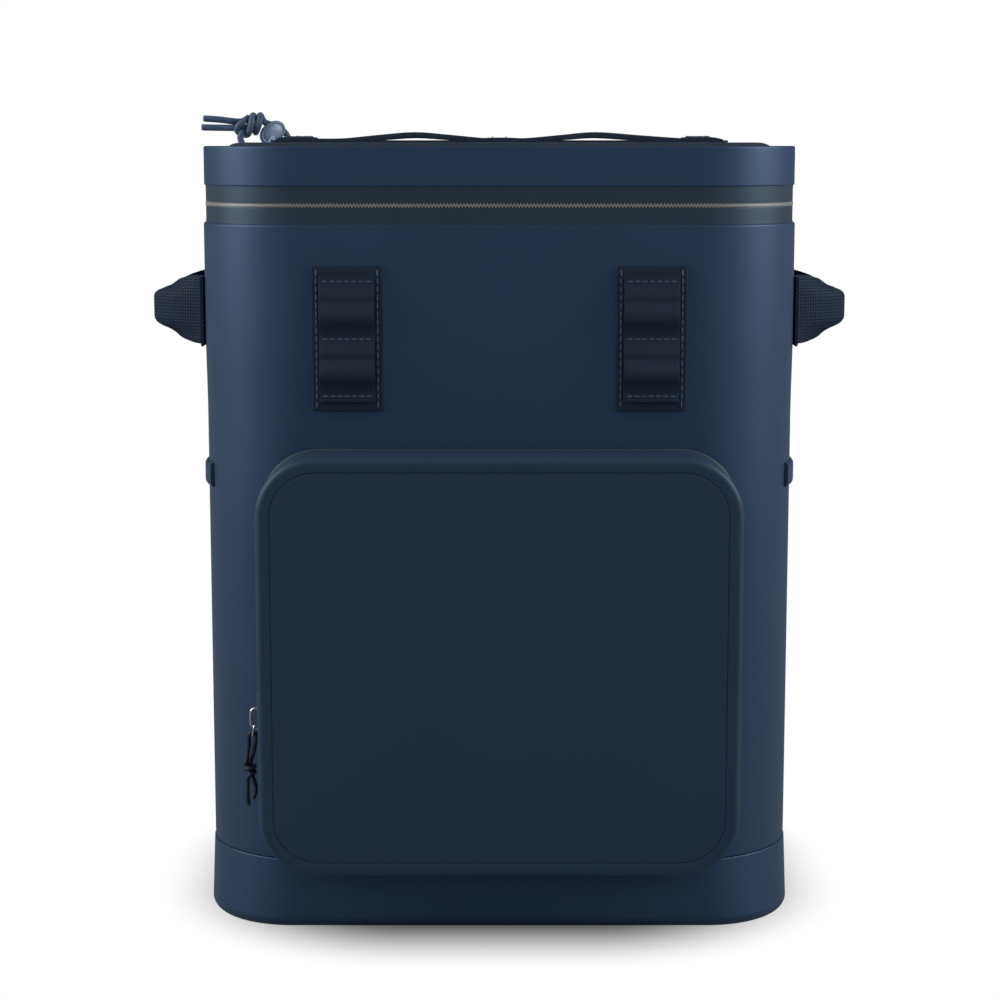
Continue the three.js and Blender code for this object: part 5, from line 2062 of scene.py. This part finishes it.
@dataclass
class PocketPull:
    """The pocket zip's slider, ring and link, and the cord that hangs from them."""

    wardrobe: Wardrobe
    height: float = 0.012
    width: float = 0.0062
    front: float = 0.003
    back: float = -0.0004
    plate_thick: float = 0.0014
    plate_width: float = 0.0056
    plate_top: float = 0.003
    plate_low: float = -0.0136
    hole: Row = (0.0032, 0.0044)
    ring_size: tuple[float, float, float] = (0.0084, 0.0136, 0.0016)
    ring_low: float = 0.0143
    ring_out: float = 0.0037
    link_size: tuple[float, float, float] = (0.0057, 0.0084, 0.0013)
    link_low: float = 0.0217
    link_out: float = 0.00545
    link_lean: float = 12.0

    def frame(self) -> LocalFrame:
        """The frame on the pocket's left side, with X to the front and Z away from the side."""
        low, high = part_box("pocket_slider")
        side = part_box("pocket_shell")[0].x
        top = high.z - self.height / 2
        return LocalFrame(
            Vector((side, (low.y + high.y) / 2, top)),
            Vector((0, -1, 0)),
            Vector((0, 0, 1)),
            Vector((-1, 0, 0)),
        )

    def cords(self) -> PullCords:
        """The two strands, with the CAD nodes that each stands for."""
        strands = (
            ("inner", ("pocket_cord_inner", "pocket_tail_inner"), POCKET_INNER),
            ("outer", ("pocket_cord_outer", "pocket_pull_knot", "pocket_tail_outer"), POCKET_OUTER),
        )
        return PullCords("pocket_strand", self.frame(), 0.0024, "dark pull cord", strands)

    def slider(self) -> None:
        """Builds the slider's body, and the plate with the ring's hole."""
        frame = self.frame()
        rows = [
            *fillet(0.0, self.back, 0.0003, 1, 2),
            *fillet(0.0, self.front - 0.0008, 0.0009, -1, 4)[::-1],
        ]
        body = loft(
            "pocket_slider_body", self.width / 2, self.height / 2, 0.0012, rows, frame.place,
            corner_steps=6,
        )
        self.wardrobe.dress(body, "bright metal", "pocket_slider")
        half = self.plate_width / 2
        middle = (self.plate_top + self.plate_low) / 2
        tall = (self.plate_top - self.plate_low) / 2
        outer = [(p.x, middle + p.y) for p in rim(half, tall, half * 0.98, corner_steps=10)]
        hole_x, hole_y = self.hole[0] / 2, self.hole[1] / 2
        centre = -(self.ring_low - (self.ring_size[1] - self.ring_size[2]) / 2)
        inner = [
            (p.x, centre + p.y) for p in rim(hole_x, hole_y, hole_x * 0.98, corner_steps=8)
        ]
        plate = cut_plate(
            "pocket_slider_plate", (outer, inner), self.plate_thick, 0.0003, frame,
            self.front - self.plate_thick,
        )
        self.wardrobe.dress(plate, "bright metal")

    def wire(
        self, name: str, size: tuple[float, float, float], place: Place
    ) -> Piece:
        """An oval wire ring.

        Args:
            name: Name of the piece.
            size: Its outside width and height, and the wire's thickness.
            place: Puts a local point in the frame.

        Returns:
            The object.
        """
        width, height, wire = size
        radius, straight = (width - wire) / 2, (height - width) / 2
        steps, sides = 16, 10
        rings, vs = [], []
        for end in (1, -1):
            for i in range(steps + 1):
                angle = (0 if end > 0 else math.pi) + math.pi * i / steps
                cos, sin = math.cos(angle), math.sin(angle)
                ring = []
                for j in range(sides):
                    around = 2 * math.pi * j / sides
                    reach = radius + wire / 2 * math.cos(around)
                    off = wire / 2 * math.sin(around)
                    ring.append(place(reach * cos, end * straight + reach * sin, off))
                rings.append(ring)
                vs.append(len(vs) * wire)
        us = [wire * j for j in range(sides + 1)]
        return Mesher().grid(rings, us, [*vs, vs[-1] + wire], loop=True).build(name)

    def hardware(self) -> None:
        """Builds the ring and the link."""
        frame = self.frame()
        lean = math.radians(-self.link_lean)
        cos, sin = math.cos(lean), math.sin(lean)

        def on_ring(x: float, y: float, z: float) -> Vector:
            """Places a point of the ring, whose plane stands out from the pocket's side."""
            return frame.place(z, y - self.ring_low, self.ring_out - x)

        def on_link(x: float, y: float, z: float) -> Vector:
            """Places a point of the link, which leans out at its lower end."""
            up, out = y * cos - z * sin, y * sin + z * cos
            return frame.place(x, up - self.link_low, self.link_out + out)

        ring = self.wire("pocket_ring", self.ring_size, on_ring)
        link = self.wire("pocket_link", self.link_size, on_link)
        self.wardrobe.dress(ring, "bright metal", "pocket_pull_ring")
        self.wardrobe.dress(link, "bright metal", "pocket_pull_link")

    def build(self) -> None:
        """Builds slider, ring and link."""
        self.slider()
        self.hardware()


@dataclass
class WebbingPanels:
    """The two lash panels: a webbing backing with a strap sewn on in two loops."""

    wardrobe: Wardrobe
    pitch: float = 0.0328
    rise: float = 0.004
    thick: float = 0.0016
    hem: float = 0.0033
    dashes: int = 7
    margin: float = 0.0175
    seam: float = 0.0015
    # Along is a share of the pitch and rise a share of the loop's rise.
    loop: tuple[Row, ...] = (
        (0.0, 0.0), (0.08, 0.03), (0.2, 0.35), (0.32, 0.9), (0.44, 1.0), (0.54, 0.75),
        (0.64, 0.46), (0.74, 0.52), (0.86, 0.3),
    )

    def panel(self, side: Side) -> None:
        """Builds one panel with its loops and stitches."""
        low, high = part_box(f"webbing_panel_{side.label}")
        centre_x, centre_z = (low.x + high.x) / 2, (low.z + high.z) / 2
        frame = front_frame(centre_x, high.y, centre_z)
        thick = high.y - low.y
        rows = [(0.0, 0.0), *fillet(0.0, thick, 0.0006, -1, 4)[::-1]]
        half_x, half_y = (high.x - low.x) / 2, (high.z - low.z) / 2
        backing = loft(
            f"webbing_base_{side.label}", half_x, half_y, 0.0012, rows, frame.place,
            corner_steps=5,
        )
        self.wardrobe.dress(backing, "panel webbing", f"webbing_panel_{side.label}")
        low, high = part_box(f"webbing_loops_{side.label}")
        off = frame.origin.y - high.y
        course = [(-self.pitch - self.hem, 0.0)]
        for start in (-1, 0):
            for along, rise in self.loop:
                course.append(((start + along) * self.pitch, rise * self.rise))
        course += [(self.pitch, 0.0), (self.pitch + self.hem, 0.0)]
        stations = []
        for along, rise in spline(course, 4):
            at = frame.place(0.0, along, off + max(rise, 0.0) + self.thick / 2)
            stations.append(Station(at, frame.x, high.x - low.x, self.thick))
        loops = strap(f"webbing_strap_{side.label}", stations, 7, 6)
        self.wardrobe.dress(loops, "loop webbing", f"webbing_loops_{side.label}")
        reach, end = (high.x - low.x) / 2 - self.seam, half_y - self.seam
        top = off + self.thick
        dash = 2 * reach / self.dashes
        lines = [(-reach, along, reach, along) for along in (-self.pitch, 0.0, self.pitch)]
        runs = stitch_rows(lambda x, y: frame.place(x, y, top), frame.z, lines)
        sewing = Sewing(dash * 0.72, dash * 0.28, 0.0008)
        sewing.piece(self.wardrobe, f"webbing_rows_{side.label}", runs)
        lines = [(x, -end, x, end) for x in (-self.margin, self.margin)]
        runs = stitch_rows(lambda x, y: frame.place(x, y, thick), frame.z, lines)
        sewing = Sewing(0.0036, 0.0012, 0.00075)
        sewing.piece(self.wardrobe, f"webbing_margins_{side.label}", runs)

    def build(self) -> None:
        """Builds both panels."""
        for side in Side:
            self.panel(side)


@dataclass
class SideHandles:
    """The two webbing handles, each sewn flat at its ends and folded double at the grip."""

    wardrobe: Wardrobe
    webbing: float = 0.0396
    raised: float = 0.0012
    thick: float = 0.0018
    fold_radius: float = 0.0022
    flap: float = 0.0105
    columns: int = 33
    # Along is a share of the half span, reach of the handle's reach, and fold runs from 0, flat,
    # to 1, where both edges are folded right in.
    course: tuple[tuple[float, float, float], ...] = (
        (-1.0, 0.0, 0.0), (-0.85, 0.0, 0.0), (-0.69, 0.0, 0.0), (-0.62, 0.12, 0.0),
        (-0.51, 0.45, 0.16), (-0.4, 0.72, 0.31), (-0.28, 0.9, 0.43), (-0.15, 0.98, 0.6),
        (0.0, 1.0, 0.92), (0.15, 0.98, 0.6), (0.28, 0.9, 0.43), (0.4, 0.72, 0.31),
        (0.51, 0.45, 0.16), (0.62, 0.12, 0.0), (0.69, 0.0, 0.0), (0.85, 0.0, 0.0),
        (1.0, 0.0, 0.0),
    )

    def section(self, fold: float) -> list[Row]:
        """Points across the webbing, from its upper edge to its lower one.

        Args:
            fold: 0 for flat, 1 for both edges folded in against the webbing's middle.

        Returns:
            Pairs of distance towards the hand's space and height.
        """
        bend = math.pi * self.fold_radius
        start = self.webbing / 2 - self.flap - bend / 2
        half_columns, fine = self.columns // 2, 20
        step = self.webbing / 2 / (half_columns * fine)
        points, inward, height = [(0.0, 0.0)], 0.0, 0.0
        for i in range(half_columns * fine):
            share = min(1.0, max(0.0, ((i + 0.5) * step - start) / bend))
            turn = math.pi * fold * share
            inward += math.sin(turn) * step
            height += math.cos(turn) * step
            if (i + 1) % fine == 0:
                points.append((inward, height))
        return [*reversed(points), *[(x, -z) for x, z in points[1:]]]

    def handle(self, side: Side) -> None:
        """Builds one handle and the stitching at its ends."""
        low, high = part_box(f"side_handle_{side.label}")
        middle = (low.z + high.z) / 2 + self.raised
        half_span = high.y
        wall = min(abs(low.x), abs(high.x)) + self.thick / 2
        reach = max(abs(low.x), abs(high.x)) - wall - self.thick / 2
        course = spline(self.course, 5)
        line = [(row[0] * half_span, wall + max(row[1], 0.0) * reach) for row in course]
        sheet = []
        for i, (_, _, fold) in enumerate(course):
            before, after = line[max(i - 1, 0)], line[min(i + 1, len(line) - 1)]
            way = Vector((after[1] - before[1], after[0] - before[0])).normalized()
            out = Vector((way.y, -way.x))
            at = Vector((line[i][1], line[i][0]))
            row = []
            for inward, z in self.section(max(0.0, fold)):
                spot = at - out * inward
                row.append(Vector((side.value * spot.x, spot.y, middle + z)))
            sheet.append(row)
        us = [self.webbing * i / (self.columns - 1) for i in range(self.columns)]
        handle = thick_sheet(f"handle_webbing_{side.label}", sheet, self.thick, us)
        self.wardrobe.dress(handle, "handle webbing", f"side_handle_{side.label}")
        face = side.value * (wall + self.thick / 2)
        edge = self.webbing / 2 - SEAM
        runs = []
        for sign in (-1, 1):
            a, b = sign * (0.995 * half_span - SEAM), sign * 0.72 * half_span
            lines = [*box_lines(a, -edge, b, edge), (a, -edge, b, edge), (a, edge, b, -edge)]
            outward = Vector((side.value, 0, 0))
            runs += stitch_rows(lambda y, z: Vector((face, y, middle + z)), outward, lines)
        Sewing().piece(self.wardrobe, f"handle_stitches_{side.label}", runs)

    def build(self) -> None:
        """Builds both handles."""
        for side in Side:
            self.handle(side)


@dataclass
class SideTabs:
    """The small moulded tabs on the sides, which start on the front corners."""

    envelope: Envelope
    wardrobe: Wardrobe
    height: float = 0.0144
    thick: float = 0.002
    slope: float = 0.003
    length: float = 0.030
    wrap: float = 24.0

    def build(self) -> None:
        """Builds both tabs."""
        e = self.envelope
        low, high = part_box("side_tab_right")
        middle, half = (low.z + high.z) / 2, self.height / 2
        profile = [(GAP, middle - half)]
        for i in range(6):
            angle = math.pi / 2 * i / 5
            rise = GAP + self.thick * math.sin(angle)
            profile.append((rise, middle - half + self.slope * (1 - math.cos(angle))))
        for i in range(6):
            angle = math.pi / 2 * (1 - i / 5)
            rise = GAP + self.thick * math.sin(angle)
            profile.append((rise, middle + half - self.slope * (1 - math.cos(angle))))
        profile.append((GAP, middle + half))
        path = rim(e.half_x, e.half_y, e.corner, -self.wrap, 0)
        last = path[-1]
        path.append(RimPoint(last.x, last.y + self.length, 1.0, 0.0, last.run + self.length))
        for side in Side:
            tab = sweep(f"side_tab_cloth_{side.label}", path, profile, side.value)
            self.wardrobe.dress(tab, "shell cloth", f"side_tab_{side.label}")


@dataclass
class BackPad:
    """The padded back panel and the yoke above it."""

    wardrobe: Wardrobe
    corner: float = 0.030
    edge: float = 0.005
    channels: tuple[float, ...] = (-0.052, 0.0, 0.052)
    channel_width: float = 0.006
    yoke_corner: float = 0.004

    def pad(self) -> None:
        """Builds the pad, with its sewn channels, filled out like foam under mesh."""
        low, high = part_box("back_pad")
        middle_z = (low.z + high.z) / 2
        frame = back_frame(0.0, low.y, middle_z)
        thick = high.y - low.y
        half_x, half_y = high.x, (high.z - low.z) / 2
        rows = [
            (0.0015, 0.0),
            (0.0003, 0.0006),
            (0.0, 0.0024),
            *fillet(0.0, thick - 0.0024, self.edge, -1, 8)[::-1],
        ]
        pad = loft("back_pad_cloth", half_x, half_y, self.corner, rows, frame.place)

        def held(spot: Vector) -> float:
            """How firmly the cloth is held: at its back, its edges and its channels."""
            if spot.y < low.y + 0.006:
                return 1.0
            edge = min(half_x - abs(spot.x), half_y - abs(spot.z - middle_z))
            channel = min(abs(spot.x - c) for c in self.channels)
            near_edge = 1.0 - min(1.0, max(0.0, (edge - 0.006) / 0.008))
            return max(near_edge, 1.0 if channel < self.channel_width / 2 else 0.0)

        Padding(limit=0.0035).fill(pad, held)
        self.wardrobe.dress(pad, "back mesh", "back_pad")
        line = rim(half_x - 0.001, half_y - 0.001, self.corner - 0.001)
        cord = np.array([tuple(frame.place(p.x, p.y, 0.0036)) for p in line])
        binding = closed_tube("back_pad_binding", cord, 0.0044)
        self.wardrobe.dress(binding, "strap edging")

    def yoke(self) -> None:
        """Builds the webbing yoke that carries the shoulder straps."""
        low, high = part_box("strap_yoke")
        frame = back_frame(0.0, low.y, (low.z + high.z) / 2)
        thick = high.y - low.y
        half_x, half_y = high.x, (high.z - low.z) / 2
        rows = [(0.0, 0.0), *fillet(0.0, thick, 0.0009, -1, 4)[::-1]]
        yoke = loft(
            "yoke_webbing", half_x, half_y, self.yoke_corner, rows, frame.place, corner_steps=6
        )
        self.wardrobe.dress(yoke, "panel webbing", "strap_yoke")
        box = box_lines(SEAM - half_x, SEAM - half_y, half_x - SEAM, half_y - SEAM)
        runs = stitch_rows(lambda x, y: frame.place(x, y, thick), frame.z, box)
        Sewing().piece(self.wardrobe, "yoke_stitches", runs)

    def build(self) -> None:
        """Builds pad and yoke."""
        self.pad()
        self.yoke()


@dataclass
class ShoulderStraps:
    """The padded shoulder straps with their buckles and webbing."""

    envelope: Envelope
    wardrobe: Wardrobe
    width: float = 0.062
    thick: float = 0.013
    reach: float = 0.052
    top_x: float = 0.050
    low_x: float = 0.088
    drop: float = 0.232
    web_width: float = 0.025
    web_thick: float = 0.0016
    buckle: tuple[float, float, float] = (0.038, 0.042, 0.0045)
    bar: float = 0.005
    anchor_above: float = 0.006
    anchor_height: float = 0.020
    # Fall is a share of the drop, reach of the reach, and wide and thick are shares of the
    # strap's width and thickness.
    course: tuple[tuple[float, float, float, float], ...] = (
        (0.02, 0.0, 0.84, 0.35), (-0.03, 0.03, 0.86, 0.45), (-0.07, 0.14, 0.92, 0.75),
        (-0.09, 0.36, 0.98, 1.0), (-0.06, 0.64, 1.0, 1.0), (0.04, 0.87, 1.0, 1.0),
        (0.2, 1.0, 1.0, 1.0), (0.4, 1.0, 1.0, 1.0), (0.6, 0.89, 0.95, 1.0),
        (0.78, 0.73, 0.82, 0.9), (0.92, 0.6, 0.66, 0.65), (1.0, 0.52, 0.6, 0.5),
    )

    def __post_init__(self) -> None:
        """Works out where the straps start, and the direction of their lower ends."""
        low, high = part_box("strap_yoke")
        self.back = low.y - GAP
        self.yoke_z = (low.z + high.z) / 2
        self.root = high.y - self.back + GAP + self.course[0][3] * self.thick / 2
        last, before = self.course[-1], self.course[-2]
        down = Vector(((last[1] - before[1]) * self.reach, (before[0] - last[0]) * self.drop))
        self.down = down.normalized()
        self.off = Vector((-self.down.y, self.down.x))

    def drift(self, fall: float) -> float:
        """Distance of the strap's middle from the bag's middle line."""
        share = min(1.0, max(0.0, fall / 0.8))
        eased = share * share * (3 - 2 * share)
        return self.top_x + (self.low_x - self.top_x) * eased

    def stations(self) -> list[Station]:
        """The right strap's stations, closely spaced."""
        across = Vector((1, 0, 0))
        found = []
        for fall, reach, wide, thick in spline(self.course, 5):
            at = Vector(
                (
                    self.drift(fall),
                    self.back + self.root + reach * self.reach,
                    self.yoke_z - fall * self.drop,
                )
            )
            found.append(Station(at, across, wide * self.width, thick * self.thick))
        return found

    def padding(self) -> None:
        """Builds the padded straps and the binding along their edges."""
        stations = self.stations()
        pad = strap("strap_pad_right", stations, 3.6, 6)
        line = [s.at for s in stations]

        def held(spot: Vector) -> float:
            """How firmly the cloth is held: along its edges and at its ends."""
            near = min(range(len(line)), key=lambda i: (line[i] - spot).length_squared)
            station = stations[near]
            share = abs(spot.x - station.at.x) / (station.wide / 2)
            end = min(near, len(line) - 1 - near) / 5
            return max(min(1.0, max(0.0, (share - 0.72) / 0.14)), 1.0 - min(1.0, end))

        Padding(limit=0.004).fill(pad, held)
        self.wardrobe.dress(pad, "pad cloth", "shoulder_strap_right")
        other = mirrored(pad, "strap_pad_left")
        self.wardrobe.dress(other, "pad cloth", "shoulder_strap_left")
        for label, sign in (("inner", -1), ("outer", 1)):
            places = [s.at + s.across * sign * (s.wide / 2 - 0.0008) for s in stations]
            edge = np.array([tuple(place) for place in places])
            binding = tube(f"strap_binding_{label}_right", edge[1:-1], 0.0046, 10)
            self.wardrobe.dress(binding, "strap edging")
            self.wardrobe.dress(mirrored(binding, f"strap_binding_{label}_left"), "strap edging")

    def on_strap(self, travel: float, rise: float) -> Vector:
        """A place beyond the right strap's lower end.

        Args:
            travel: Distance down the strap from its padded end.
            rise: Distance off its middle, away from the body.

        Returns:
            The place.
        """
        end_out = self.root + self.course[-1][1] * self.reach
        end_z = self.yoke_z - self.course[-1][0] * self.drop
        return Vector(
            (
                self.drift(1.0),
                self.back + end_out + self.down.x * travel + self.off.x * rise,
                end_z + self.down.y * travel + self.off.y * rise,
            )
        )

    def buckles(self) -> None:
        """Builds the three-bar buckles."""
        width, height, thick = self.buckle
        middle = self.on_strap(GAP + height / 2, 0.0)
        frame = LocalFrame(
            middle,
            Vector((-1, 0, 0)),
            Vector((0, -self.down.x, -self.down.y)),
            Vector((0, self.off.x, self.off.y)),
        )
        slot = (height - 3 * self.bar) / 2
        outer = [(p.x, p.y) for p in rim(width / 2, height / 2, 0.004, corner_steps=8)]
        outlines = [outer]
        for sign in (-1, 1):
            centre = sign * (slot + self.bar) / 2
            window = rim(width / 2 - self.bar, slot / 2, 0.0012, corner_steps=4)
            outlines.append([(p.x, centre + p.y) for p in window])
        buckle = cut_plate("buckle_right", outlines, thick, 0.0012, frame, -thick / 2)
        self.wardrobe.dress(buckle, "buckle plastic", "strap_buckle_right")
        other = mirrored(buckle, "buckle_left")
        self.wardrobe.dress(other, "buckle plastic", "strap_buckle_left")

    def webbing(self) -> None:
        """Builds the webbing, woven through the buckles and sewn on low at the back."""
        height, thick = self.buckle[1], self.buckle[2]
        slot = (height - 3 * self.bar) / 2
        top = GAP + self.bar / 2
        mid = top + self.bar + slot
        low = mid + self.bar + slot
        web_off = thick / 2 + self.web_thick / 2 + 2 * GAP
        pad_off = self.course[-2][3] * self.thick / 2 + self.web_thick / 2 + 2 * GAP
        clear = self.bar / 2 + 2 * GAP
        places = [
            self.on_strap(-2 * self.bar, -pad_off),
            self.on_strap(-GAP, -pad_off),
            self.on_strap(top - self.bar / 4, -web_off),
            self.on_strap(top + clear, -web_off),
            self.on_strap(mid - clear, web_off),
            self.on_strap(mid + clear, web_off),
            self.on_strap(low - clear, -web_off),
            self.on_strap(low + clear, -web_off),
        ]
        out = self.back + GAP + self.web_thick / 2
        base = self.envelope.base_top
        x = self.drift(1.0)
        anchor = [
            Vector((x, out, base + self.anchor_above + self.anchor_height)),
            Vector((x, out, base + self.anchor_above)),
        ]
        bends = eased([*places, *anchor], 0.0022, 4)
        across = Vector((1, 0, 0))
        stations = [Station(at, across, self.web_width, self.web_thick) for at in bends]
        web = strap("adjuster_webbing_right", stations, 7, 5)
        self.wardrobe.dress(web, "strap edging", "strap_webbing_right")
        other = mirrored(web, "adjuster_webbing_left")
        self.wardrobe.dress(other, "strap edging", "strap_webbing_left")
        face = out + self.web_thick / 2
        low = base + self.anchor_above + 0.0025
        high = base + self.anchor_above + self.anchor_height - 0.004
        half = self.web_width / 2 - 0.0025
        runs = []
        for side in Side:
            middle = side.value * x
            box = box_lines(middle - half, low, middle + half, high)
            runs += stitch_rows(lambda u, z: Vector((u, face, z)), Vector((0, 1, 0)), box)
        Sewing().piece(self.wardrobe, "adjuster_stitches", runs)

    def build(self) -> None:
        """Builds all the parts of both straps."""
        self.padding()
        self.buckles()
        self.webbing()


def main() -> None:
    """Builds the whole scene."""
    logging.basicConfig(level=logging.INFO, format="%(message)s")
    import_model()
    envelope = Envelope.from_frame()
    studio = Studio()
    studio.camera()
    wardrobe = Wardrobe()
    main_pull = MainPull(envelope, wardrobe)
    pocket_pull = PocketPull(wardrobe)
    main_pull.cords().build(wardrobe)
    pocket_pull.cords().build(wardrobe)
    BodyShell(envelope, wardrobe).build()
    ZipBand(envelope, wardrobe).build()
    Lid(envelope, wardrobe).build()
    main_pull.build()
    Pocket(envelope, wardrobe).build()
    pocket_pull.build()
    WebbingPanels(wardrobe).build()
    SideHandles(wardrobe).build()
    SideTabs(envelope, wardrobe).build()
    BackPad(wardrobe).build()
    ShoulderStraps(envelope, wardrobe).build()
    studio.world()
    studio.lights()
    studio.floor(envelope)


if __name__ == "__main__":
    main()
